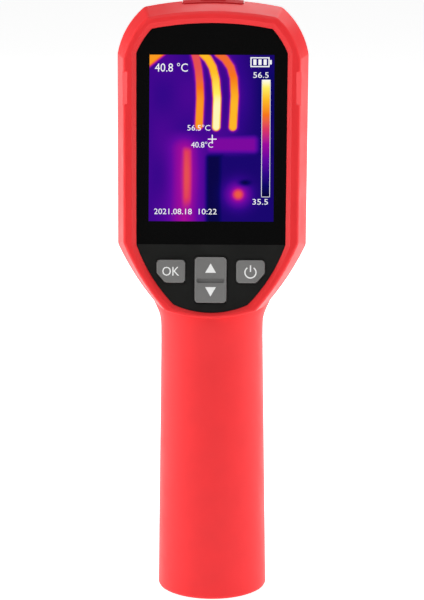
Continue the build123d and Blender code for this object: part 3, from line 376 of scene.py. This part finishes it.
def add_piece(name: str, work: bmesh.types.BMesh, material: bpy.types.Material, body: Body) -> bpy.types.Object:
    """Makes a finished piece from mesh work and sets it riding.

    Args:
        name: the piece's name.
        work: the mesh, in its place; it is freed.
        material: its finish.
        body: what it rides on.

    Returns:
        The new object.
    """
    mesh = bpy.data.meshes.new(name)
    work.to_mesh(mesh)
    work.free()
    mesh.materials.append(material)
    piece = bpy.data.objects.new(name, mesh)
    bpy.context.scene.collection.objects.link(piece)
    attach(piece, body.value)
    LOG.info("built %s with %d faces", name, len(mesh.polygons))
    return piece


LETTER_DEPTH = 0.1       # thickness of the raw lettering, before it is scaled


def add_lettering(work: bmesh.types.BMesh, words: str, size: tuple[float, float],
                  thickness: float, place: Matrix) -> None:
    """Adds solid lettering, fitted to a size and centred on its place.

    Args:
        work: the mesh that takes it.
        words: what it says.
        size: its width and height.
        thickness: how thick it is.
        place: where its centre goes.
    """
    curve = bpy.data.curves.new("lettering", "FONT")
    curve.body = words
    curve.extrude = LETTER_DEPTH / 2
    curve.resolution_u = 3
    holder = bpy.data.objects.new("lettering", curve)
    bpy.context.scene.collection.objects.link(holder)
    bpy.context.view_layer.update()
    solved = holder.evaluated_get(bpy.context.evaluated_depsgraph_get())
    mesh = bpy.data.meshes.new_from_object(solved)
    bpy.data.objects.remove(holder)
    bpy.data.curves.remove(curve)
    xs = [vertex.co.x for vertex in mesh.vertices]
    ys = [vertex.co.y for vertex in mesh.vertices]
    centre = Vector(((min(xs) + max(xs)) / 2, (min(ys) + max(ys)) / 2, 0.0))
    scale = Matrix.Diagonal((size[0] / (max(xs) - min(xs)), size[1] / (max(ys) - min(ys)),
                             thickness / LETTER_DEPTH, 1.0))
    mesh.transform(place @ scale @ Matrix.Translation(-centre))
    before = len(work.verts)
    work.from_mesh(mesh)
    bpy.data.meshes.remove(mesh)
    work.verts.ensure_lookup_table()
    bmesh.ops.remove_doubles(work, verts=work.verts[before:], dist=1e-7)


def add_block(work: bmesh.types.BMesh, size: Triple, place: Matrix) -> list[bmesh.types.BMVert]:
    """Adds a block.

    Args:
        work: the mesh that takes it.
        size: its size along X, Y and Z.
        place: where its centre goes.

    Returns:
        Its corners.
    """
    stretch = place @ Matrix.Diagonal((*size, 1.0))
    return bmesh.ops.create_cube(work, size=1.0, matrix=stretch)["verts"]


# ------------------------------------------------------------------------------ display
def smooth(edge0: float, edge1: float, value: float) -> float:
    """Eases from 0 at edge0 to 1 at edge1."""
    t = min(1.0, max(0.0, (value - edge0) / (edge1 - edge0)))
    return t * t * (3.0 - 2.0 * t)


def to_path(x: float, y: float, path: Path) -> float:
    """Measures from a point to a run of straight lines.

    Args:
        x: the point's place to the right.
        y: its place downwards.
        path: the corners of the run.

    Returns:
        The shortest distance.
    """
    best = math.inf
    for (ax, ay), (bx, by) in zip(path, path[1:]):
        run = (bx - ax) ** 2 + (by - ay) ** 2
        t = min(1.0, max(0.0, ((x - ax) * (bx - ax) + (y - ay) * (by - ay)) / run))
        best = min(best, math.hypot(x - ax - t * (bx - ax), y - ay - t * (by - ay)))
    return best


def in_box(x: float, y: float, box: Box, soft: float) -> float:
    """Tells how much a point belongs to a box.

    Args:
        x: the point's place to the right.
        y: its place downwards.
        box: left, top, right and bottom.
        soft: how far outside the box the answer reaches 0.

    Returns:
        1 inside the box, easing to 0 outside it.
    """
    dx = max(box[0] - x, 0.0, x - box[2])
    dy = max(box[1] - y, 0.0, y - box[3])
    return 1.0 - smooth(0.0, soft, math.hypot(dx, dy))


@dataclass(frozen=True)
class HeatView:
    """What the camera shows: warm pipes in front of a cool wall, in a hot-metal palette.

    Places are millimetres right of and down from the lit area's top left corner.
    """

    pipes: tuple[tuple[float, Path], ...] = (        # each pipe's warmth and its line
        (0.76, ((17.6, -0.5), (18.4, 2.4), (19.1, 6.0), (19.6, 11.0), (19.8, 17.0), (19.4, 27.6))),
        (0.97, ((20.6, -0.5), (22.8, 1.6), (24.6, 4.8), (25.8, 9.6), (26.4, 17.0), (26.1, 28.0))),
        (0.82, ((26.8, -0.5), (29.4, 1.6), (31.6, 4.8), (32.8, 9.0), (33.2, 16.0), (32.6, 28.0))),
    )
    pipe_half: float = 1.15
    pipe_edge: float = 1.15
    pipe_halo: float = 3.4
    shelf: Box = (24.0, 33.4, 40.5, 36.4)            # a warm shelf across the middle
    gap: Box = (23.6, 40.2, 28.0, 66.0)              # a cold gap under it
    wall: Box = (29.0, 40.2, 50.0, 66.0)             # a cool wall beside the gap
    edge: float = 2.4                                # softness of the gap and the wall
    palette: tuple[tuple[float, Triple], ...] = (
        (0.00, (0.001, 0.0005, 0.030)),
        (0.10, (0.003, 0.0005, 0.130)),
        (0.20, (0.030, 0.0006, 0.245)),
        (0.32, (0.120, 0.0010, 0.350)),
        (0.45, (0.330, 0.0020, 0.330)),
        (0.58, (0.720, 0.0350, 0.120)),
        (0.70, (0.930, 0.1700, 0.010)),
        (0.84, (1.000, 0.5200, 0.020)),
        (0.94, (1.000, 0.8600, 0.120)),
        (1.00, (1.000, 1.0000, 0.820)),
    )

    def room(self, x: float, y: float) -> float:
        """Gives the warmth of the room behind the pipes.

        Args:
            x: place to the right.
            y: place downwards.

        Returns:
            A dim warmth, less to the right, with one warm upright band low down.
        """
        ripple = 0.02 * math.sin(0.3 * x) * math.cos(0.2 * y)
        backdrop = 0.225 - 0.125 * smooth(32.0, 46.0, x) + ripple
        glow = 0.25 * math.exp(-(((x - 14.0) / 5.6) ** 2)) * smooth(28.0, 37.0, y)
        core = 0.13 * math.exp(-(((x - 15.0) / 1.7) ** 4)) * smooth(35.0, 38.0, y)
        return backdrop + glow + core * (1.0 - smooth(55.0, 61.0, y))

    def furniture(self, x: float, y: float, warmth: float) -> float:
        """Lays the shelf, the gap, the wall, a spot and a warm corner over the room.

        Args:
            x: place to the right.
            y: place downwards.
            warmth: the room's warmth there.

        Returns:
            The warmth with them in front.
        """
        warmth = max(warmth, 0.37 * in_box(x, y, self.shelf, 4.6))
        for box, level in ((self.gap, 0.03), (self.wall, 0.12)):
            share = in_box(x, y, box, self.edge)
            warmth = warmth * (1.0 - share) + level * share
        spot = math.hypot(x - 34.8, y - 54.3)
        warmth += 0.36 * math.exp(-((spot / 5.0) ** 2)) + 0.17 * math.exp(-((spot / 2.3) ** 4))
        warmth -= 0.22 * math.exp(-(((x - 37.2) / 2.2) ** 2) - ((y - 49.8) / 1.1) ** 2)
        return max(warmth, 0.76 * (1.0 - smooth(4.4, 8.4, x + 1.25 * y)))

    def heat(self, x: float, y: float) -> float:
        """Gives the warmth at a place of the picture.

        Args:
            x: place to the right.
            y: place downwards.

        Returns:
            Warmth from 0 to 1.
        """
        warmth = self.furniture(x, y, self.room(x, y))
        for peak, path in self.pipes:
            away = to_path(x, y, path)
            ripe = peak - 0.14 * (1.0 - smooth(4.0, 20.0, y))
            halo = 0.36 * (1.0 - smooth(self.pipe_half, self.pipe_half + self.pipe_halo, away))
            pipe = ripe * (1.0 - smooth(self.pipe_half, self.pipe_half + self.pipe_edge, away))
            warmth = max(warmth, halo, pipe)
        return min(1.0, max(0.0, warmth))

    def colour(self, warmth: float) -> Triple:
        """Reads the palette.

        Args:
            warmth: from 0 to 1.

        Returns:
            Its colour, linear red, green and blue.
        """
        for (low, a), (high, b) in zip(self.palette, self.palette[1:]):
            if warmth <= high:
                t = (warmth - low) / (high - low)
                return tuple(p + (q - p) * t for p, q in zip(a, b))
        return self.palette[-1][1]


@dataclass
class Display:
    """The lit picture, its colour bar and its readings, on the window's face."""

    lean: Leaning
    finishes: Finishes
    width: float = 48.6
    height: float = 64.8
    rise: float = 1.3            # the lit area's middle, above the panel's middle
    cell: float = 0.4
    proud: float = 0.02
    bar: Box = (44.0, 9.8, 46.9, 55.1)
    bar_cells: int = 60
    bar_lift: float = 0.02       # the bar's face, above the picture
    bar_line: float = 0.2        # width of the bar's outline
    bar_middle: float = 32.4     # middle of the outline's uprights
    ink: float = 0.02            # thickness of the figures
    ink_lift: float = 0.03       # their middle, above the picture
    white: Triple = (0.92, 0.92, 0.94)
    view: HeatView = HeatView()
    figures: tuple[tuple[str, float, float, float, float], ...] = (  # words, left, top, w, h
        ("40.8 °C", 2.1, 3.2, 12.8, 3.4),
        ("56.5", 40.4, 6.7, 6.0, 2.2),
        ("35.5", 40.4, 56.0, 6.0, 2.2),
        ("56.5°C", 14.9, 27.2, 8.9, 2.3),
        ("40.8°C", 16.4, 33.8, 8.5, 2.3),
        ("2021.08.18", 2.1, 59.9, 14.7, 2.2),
        ("10:22", 19.5, 59.9, 7.0, 2.2),
    )
    battery: tuple[Box, ...] = (         # strokes of the battery sign: middle, w, h
        (43.0, 1.1, 7.4, 0.45), (43.0, 4.5, 7.4, 0.45), (39.5, 2.8, 0.45, 3.8),
        (46.5, 2.8, 0.45, 3.8), (47.2, 2.8, 0.7, 1.7), (41.0, 2.8, 1.2, 2.2),
        (43.0, 2.8, 1.2, 2.2), (45.0, 2.8, 1.2, 2.2),
    )
    cross: tuple[Box, ...] = ((24.6, 32.8, 3.4, 0.4), (24.6, 32.8, 0.4, 3.4))

    def place(self, x: float, y: float, lift: float = 0.0) -> Matrix:
        """Places a point of the picture.

        Args:
            x: millimetres right of the lit area's top left corner.
            y: millimetres down from it.
            lift: millimetres above the picture.

        Returns:
            The placing matrix.
        """
        middle = self.lean.middle("lcd_panel", self.lean.up) + self.rise * MM
        face = self.lean.span("display_window", self.lean.out)[1]
        return self.lean.matrix((x - self.width / 2) * MM, middle + (self.height / 2 - y) * MM,
                                face + (self.proud + lift) * MM)

    def sheet(self, name: str, box: Box, lift: float, cells: tuple[int, int],
              heat: Callable[[float, float], float]) -> None:
        """Makes a coloured plate on the screen.

        Args:
            name: the piece's name.
            box: left, top, right and bottom, in millimetres.
            lift: how far it stands above the picture, in millimetres.
            cells: cells across and down.
            heat: warmth at a place.
        """
        work = bmesh.new()
        half_w, half_h = (box[2] - box[0]) / 2 * MM, (box[3] - box[1]) / 2 * MM
        place = self.place((box[0] + box[2]) / 2, (box[1] + box[3]) / 2, lift)
        bmesh.ops.create_grid(work, x_segments=cells[0], y_segments=cells[1], size=1.0,
                              matrix=Matrix.Diagonal((half_w, half_h, 1.0, 1.0)))
        layer = work.verts.layers.float_color.new(Finishes.PICTURE.layer)
        for vertex in work.verts:
            x = (box[0] + box[2]) / 2 + vertex.co.x / MM
            y = (box[1] + box[3]) / 2 - vertex.co.y / MM
            vertex[layer] = (*self.view.colour(heat(x, y)), 1.0)
        bmesh.ops.transform(work, matrix=place, verts=work.verts)
        add_piece(name, work, self.finishes.get(Finishes.PICTURE), Body.HOUSING)

    def outline(self) -> tuple[Box, ...]:
        """Works out the strokes round the colour bar.

        Returns:
            Each stroke's middle, width and height.
        """
        left, top, right, bottom = self.bar
        line, across, tall = self.bar_line, (left + right) / 2, bottom - top
        over = right - left + 0.3
        return ((left - 0.15, self.bar_middle, line, tall),
                (right + 0.15, self.bar_middle, line, tall),
                (across, top - line / 2, over, line), (across, bottom + line / 2, over, line))

    def readings(self) -> None:
        """Makes the white figures, the battery sign, the aiming cross and the bar's outline."""
        work = bmesh.new()
        for words, left, top, width, tall in self.figures:
            middle = self.place(left + width / 2, top + tall / 2, self.ink_lift)
            add_lettering(work, words, (width * MM, tall * MM), self.ink * MM, middle)
        for x, y, width, tall in (*self.battery, *self.cross, *self.outline()):
            add_block(work, (width * MM, tall * MM, self.ink * MM), self.place(x, y, self.ink_lift))
        layer = work.verts.layers.float_color.new(Finishes.PICTURE.layer)
        for vertex in work.verts:
            vertex[layer] = (*self.white, 1.0)
        add_piece("screen_readings", work, self.finishes.get(Finishes.PICTURE), Body.HOUSING)

    def build(self) -> None:
        """Makes the whole picture."""
        cells = (round(self.width / self.cell), round(self.height / self.cell))
        self.sheet("heat_picture", (0.0, 0.0, self.width, self.height), 0.0, cells, self.view.heat)
        top, bottom = self.bar[1], self.bar[3]
        self.sheet("heat_scale", self.bar, self.bar_lift, (1, self.bar_cells),
                   lambda x, y: (bottom - y) / (bottom - top))
        self.readings()


# ------------------------------------------------------------------------------ keys
@dataclass
class KeyLegends:
    """Printed signs on the three key caps."""

    lean: Leaning
    finishes: Finishes
    ink: float = 0.05            # thickness of the print, half of it in the cap, millimetres
    word: tuple[float, float] = (6.6, 3.5)
    arrow: float = 2.43          # circumradius of an arrow
    arrow_up: float = 4.0        # arrow's middle above the rocker's
    ring: tuple[float, float] = (2.15, 0.5)      # radius and line of the power sign's ring
    ring_turn: float = 292.0                     # how far the ring goes round, in degrees
    ring_drop: float = 0.3                       # its middle, below the cap's
    ring_steps: int = 40
    bar: tuple[float, float] = (2.6, 1.5)        # length and middle of the power sign's bar

    def place(self, node: str, rise: float = 0.0) -> Matrix:
        """Places a sign on a key.

        Args:
            node: the key's CAD node.
            rise: millimetres up from the middle of its cap.

        Returns:
            The placing matrix, on the cap's face.
        """
        lean = self.lean
        return lean.matrix(lean.middle(node, lean.across), lean.middle(node, lean.up) + rise * MM,
                           lean.span(node, lean.out)[1])

    def ok_word(self) -> None:
        """Makes the word on the first key."""
        work = bmesh.new()
        size = (self.word[0] * MM, self.word[1] * MM)
        add_lettering(work, "OK", size, self.ink * MM, self.place("ok_key"))
        add_piece("ok_legend", work, self.finishes.get(Finishes.LEGEND), Body.OK_KEY)

    def arrows(self) -> None:
        """Makes the two arrows of the rocker."""
        work = bmesh.new()
        for way, turn in ((1, 0.0), (-1, -180.0)):
            # a three-sided prism points up the screen until it is turned
            place = self.place("arrow_rocker", way * self.arrow_up)
            bmesh.ops.create_cone(work, cap_ends=True, segments=3, radius1=self.arrow * MM,
                                  radius2=self.arrow * MM, depth=self.ink * MM,
                                  matrix=place @ Matrix.Rotation(math.radians(turn), 4, "Z"))
        add_piece("arrow_legends", work, self.finishes.get(Finishes.LEGEND), Body.ROCKER)

    def power_sign(self) -> None:
        """Makes the power key's open ring, spun from one end of its line, and its bar."""
        work = bmesh.new()
        radius, line = self.ring
        length, middle = self.bar
        gap = math.radians((360.0 - self.ring_turn) / 2)
        start = add_block(work, (line * MM, 1e-7, self.ink * MM),
                          Matrix.Translation((radius * MM, 0, 0)))
        bmesh.ops.remove_doubles(work, verts=start, dist=1e-6)
        bmesh.ops.rotate(work, verts=work.verts, cent=(0, 0, 0),
                         matrix=Matrix.Rotation(math.pi / 2 + gap, 3, "Z"))
        bmesh.ops.spin(work, geom=work.verts[:] + work.edges[:] + work.faces[:], cent=(0, 0, 0),
                       axis=(0, 0, 1), angle=math.radians(self.ring_turn), steps=self.ring_steps)
        bmesh.ops.recalc_face_normals(work, faces=work.faces)
        add_block(work, (line * MM, length * MM, self.ink * MM),
                  Matrix.Translation((0, middle * MM, 0)))
        bmesh.ops.transform(work, matrix=self.place("power_key", -self.ring_drop), verts=work.verts)
        add_piece("power_legend", work, self.finishes.get(Finishes.LEGEND), Body.POWER_KEY)

    def build(self) -> None:
        """Makes the word, the two arrows and the power sign."""
        self.ok_word()
        self.arrows()
        self.power_sign()


# ------------------------------------------------------------------------------ ribs
@dataclass
class DrapedRibs:
    """Raised ribs that follow the surface of a CAD node."""

    nodes: dict[str, bpy.types.Object]
    node: str
    cast: Vector
    length: float
    width: float
    rise: float                  # how far a rib stands out of the surface
    sink: float                  # and how far it goes in
    outside: float = 0.4         # a start for the rays, clear of the whole part
    cuts: int = 24               # along a rib, so that it can follow the surface
    edge: float = 0.12 * MM      # bevel of the rib's edges

    def build(self, name: str, places: list[tuple[float, float]], material: bpy.types.Material,
              body: Body, slot: Slot) -> None:
        """Makes the ribs as one piece.

        Args:
            name: the piece's name.
            places: each rib's middle, as (across, along) with across on X.
            material: the finish.
            body: what they ride on.
            slot: the record's slot; not used.
        """
        mesh = self.nodes[self.node].data
        tree = BVHTree.FromPolygons([v.co for v in mesh.vertices],
                                    [p.vertices[:] for p in mesh.polygons])
        work = bmesh.new()
        upright = abs(self.cast.y) > 0.5
        for across, along in places:
            size = (self.length, 1.0, self.width) if upright else (self.length, self.width, 1.0)
            centre = (across, 0.0, along) if upright else (across, along, 0.0)
            corners = add_block(work, size, Matrix.Translation(centre))
            runs = {e for v in corners for e in v.link_edges
                    if abs(e.verts[0].co.x - e.verts[1].co.x) > self.length / 2}
            bmesh.ops.subdivide_edges(work, edges=list(runs), cuts=self.cuts, use_grid_fill=True)
        axis = 1 if upright else 2
        for vertex in work.verts:
            start = vertex.co.copy()
            outer = start[axis] > 0.0
            start[axis] = self.outside
            hit = tree.ray_cast(start, self.cast)[0]
            if hit is None:
                raise ValueError(f"rib {name} leaves the surface of {self.node}")
            vertex.co[axis] = hit[axis] + (self.rise if outer else -self.sink)
        bmesh.ops.bevel(work, geom=work.edges[:], offset=self.edge, offset_type="OFFSET",
                        affect="EDGES", segments=1, profile=0.5, material=-1)
        add_piece(name, work, material, body)


@dataclass
class TorchRings:
    """Fine moulded rings on the torch's lens."""

    radii: tuple[float, ...] = (1.5, 2.6, 3.7)
    line: float = 0.14
    sides: int = 10
    steps: int = 56

    def build(self, material: bpy.types.Material) -> None:
        """Makes the rings on the lens's outer face.

        Args:
            material: their finish.
        """
        low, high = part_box("torch_lens")
        work = bmesh.new()
        for radius in self.radii:
            ring = bmesh.ops.create_circle(
                work, segments=self.sides, radius=self.line * MM,
                matrix=Matrix.Translation((radius * MM, 0.0, 0.0))
                @ Matrix.Rotation(math.pi / 2, 4, "X"))
            edges = list({e for v in ring["verts"] for e in v.link_edges})
            bmesh.ops.spin(work, geom=ring["verts"] + edges, cent=(0, 0, 0), axis=(0, 0, 1),
                           angle=2 * math.pi, steps=self.steps, use_merge=True)
        bmesh.ops.recalc_face_normals(work, faces=work.faces)
        centre = Vector(((low[0] + high[0]) / 2, high[1], (low[2] + high[2]) / 2))
        bmesh.ops.transform(work, verts=work.verts, matrix=Matrix.Translation(centre)
                            @ Matrix.Rotation(math.pi / 2, 4, "X"))
        add_piece("torch_rings", work, material, Body.HOUSING)


@dataclass
class ReturnSpring:
    """The trigger's coil spring, fixed to the housing."""

    wire: float = 0.28           # radius of the wire, millimetres
    sides: int = 10
    ends: float = 2.4            # wire radii kept free at the coil's ends
    turns: int = 4
    steps: int = 28
    kept: float = 0.5            # of its length, at full pull

    def build(self, material: bpy.types.Material) -> None:
        """Makes the coil in the CAD spring's place.

        Args:
            material: its finish.
        """
        low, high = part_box("trigger_spring")
        middle = Vector(((low[0] + high[0]) / 2, low[1] + self.wire * MM, (low[2] + high[2]) / 2))
        coil = (high[0] - low[0]) / 2 - self.wire * MM
        rise = high[1] - low[1] - self.ends * self.wire * MM
        work = bmesh.new()
        ring = bmesh.ops.create_circle(
            work, cap_ends=True, segments=self.sides, radius=self.wire * MM,
            matrix=Matrix.Translation((coil, 0.0, 0.0)) @ Matrix.Rotation(math.pi / 2, 4, "X"))
        edges = list({e for v in ring["verts"] for e in v.link_edges})
        faces = list({f for v in ring["verts"] for f in v.link_faces})
        count = self.turns * self.steps
        bmesh.ops.spin(work, geom=ring["verts"] + edges + faces, cent=(0, 0, 0), axis=(0, 0, 1),
                       dvec=(0.0, 0.0, rise / count), angle=2 * math.pi * self.turns, steps=count)
        bmesh.ops.recalc_face_normals(work, faces=work.faces)
        bmesh.ops.transform(work, verts=work.verts, matrix=Matrix.Translation(middle)
                            @ Matrix.Rotation(-math.pi / 2, 4, "X"))
        piece = add_piece("return_spring", work, material, Body.HOUSING)
        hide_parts("trigger_spring")
        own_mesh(piece)


# ------------------------------------------------------------------------------ studio
@dataclass
class Studio:
    """Pale floor, soft lights and the camera."""

    target: Triple = (0.0002, -0.0068, 0.1193)
    distance: float = 0.900
    azimuth: float = 1.7
    elevation: float = 12.0
    view_angle: float = 15.0
    floor_half: float = 12.0
    floor_glow: float = 0.84
    paper: float = 0.9                   # the floor's tone and its roughness
    room: float = 0.12                   # light that the room gives
    lit_middle: Triple = (0.0, 0.0, 0.13)
    sensor: float = 36.0
    lamps: tuple[tuple[str, Triple, float, float], ...] = (      # name, place, size, power
        ("left", (-1.05, 0.02, 0.32), 0.8, 8.8),
        ("right", (1.05, 0.06, 0.32), 0.7, 6.2),
        ("front", (-0.25, -0.95, 1.15), 0.9, 2.6),
        ("top", (0.0, -0.10, 1.25), 0.9, 6.5),
        ("back", (0.3, 1.3, 1.0), 0.9, 5.0),
    )

    def build(self) -> None:
        """Makes the stage."""
        self.floor()
        self.lights()
        self.camera()

    def floor(self) -> None:
        """Makes the floor, lit a little so that it stays pale far away."""
        work = bmesh.new()
        bmesh.ops.create_grid(work, x_segments=2, y_segments=2, size=self.floor_half)
        mesh = bpy.data.meshes.new("floor")
        work.to_mesh(mesh)
        work.free()
        paper = bpy.data.materials.new("pale paper")
        paper.use_nodes = True
        shader = paper.node_tree.nodes["Principled BSDF"]
        shader.inputs["Base Color"].default_value = (self.paper, self.paper, self.paper, 1.0)
        shader.inputs["Roughness"].default_value = self.paper
        shader.inputs["Emission Color"].default_value = (1.0, 1.0, 1.0, 1.0)
        shader.inputs["Emission Strength"].default_value = self.floor_glow
        mesh.materials.append(paper)
        floor = bpy.data.objects.new("floor", mesh)
        bpy.context.scene.collection.objects.link(floor)

    def lights(self) -> None:
        """Makes the soft boxes and the even room light, with a white backdrop behind it."""
        world = bpy.data.worlds.new("studio")
        world.use_nodes = True
        tree = world.node_tree
        tree.nodes["Background"].inputs["Color"].default_value = (1.0, 1.0, 1.0, 1.0)
        seen = tree.nodes.new("ShaderNodeLightPath")
        level = tree.nodes.new("ShaderNodeMapRange")
        level.inputs["To Min"].default_value = self.room
        level.inputs["To Max"].default_value = 1.0
        link(tree, seen.outputs["Is Camera Ray"], level.inputs["Value"])
        link(tree, level.outputs["Result"], tree.nodes["Background"].inputs["Strength"])
        bpy.context.scene.world = world
        for name, spot, size, power in self.lamps:
            data = bpy.data.lights.new(name, "AREA")
            data.shape, data.size, data.energy = "SQUARE", size, power
            lamp = bpy.data.objects.new(name, data)
            lamp.location = spot
            aim = Vector(self.lit_middle) - Vector(spot)
            lamp.rotation_euler = aim.to_track_quat("-Z", "Y").to_euler()
            bpy.context.scene.collection.objects.link(lamp)

    def camera(self) -> None:
        """Makes the camera at the viewing angle."""
        turn, tilt = math.radians(self.azimuth), math.radians(self.elevation)
        back = Vector((math.sin(turn) * math.cos(tilt), -math.cos(turn) * math.cos(tilt),
                       math.sin(tilt)))
        data = bpy.data.cameras.new("camera")
        data.sensor_width = self.sensor
        data.lens = data.sensor_width / 2 / math.tan(math.radians(self.view_angle / 2))
        camera = bpy.data.objects.new("camera", data)
        camera.location = Vector(self.target) + back * self.distance
        camera.rotation_euler = (-back).to_track_quat("-Z", "Y").to_euler()
        bpy.context.scene.collection.objects.link(camera)
        bpy.context.scene.camera = camera
        bpy.context.scene.view_settings.view_transform = "Standard"


def grip_ribs(nodes: dict[str, bpy.types.Object], finishes: Finishes) -> None:
    """Makes the ribs across the rubber grip.

    Args:
        nodes: the CAD nodes by name.
        finishes: the camera's finishes.
    """
    low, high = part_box("grip_pad")
    bottom, top, pitch = low[2] + 5.0 * MM, high[2] - 9.0 * MM, 4.2 * MM
    rows = [(0.0, bottom + pitch * i) for i in range(int((top - bottom) / pitch) + 1)]
    ribs = DrapedRibs(nodes, "grip_pad", Vector((0, -1, 0)), length=26 * MM, width=1.7 * MM,
                      rise=0.45 * MM, sink=0.3 * MM)
    ribs.build("grip_ribs", rows, finishes.get(Finishes.RUBBER), Body.HOUSING, Slot.GRIP)


def flap_ridges(nodes: dict[str, bpy.types.Object], finishes: Finishes) -> None:
    """Makes the three finger ridges on the port cover.

    Args:
        nodes: the CAD nodes by name.
        finishes: the camera's finishes.
    """
    low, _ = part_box("usb_cover")
    lines = [(0.0, low[1] + (2.2 + 1.5 * i) * MM) for i in range(3)]
    ribs = DrapedRibs(nodes, "usb_cover", Vector((0, 0, -1)), length=10 * MM, width=0.7 * MM,
                      rise=0.3 * MM, sink=0.2 * MM)
    ribs.build("flap_ridges", lines, finishes.get(Finishes.RED_FLAP), Body.COVER, Slot.FLAP)


def main() -> None:
    """Builds every piece round the frame."""
    logging.basicConfig(level=logging.INFO, format="%(message)s")
    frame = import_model()
    finishes = Finishes()
    finishes.dress(frame["nodes"])
    lean = Leaning.from_frame(frame)
    Display(lean, finishes).build()
    KeyLegends(lean, finishes).build()
    grip_ribs(frame["nodes"], finishes)
    flap_ridges(frame["nodes"], finishes)
    TorchRings().build(finishes.get(Finishes.CLEAR))
    ReturnSpring().build(finishes.get(Finishes.STEEL))
    Studio().build()


if __name__ == "__main__":
    main()
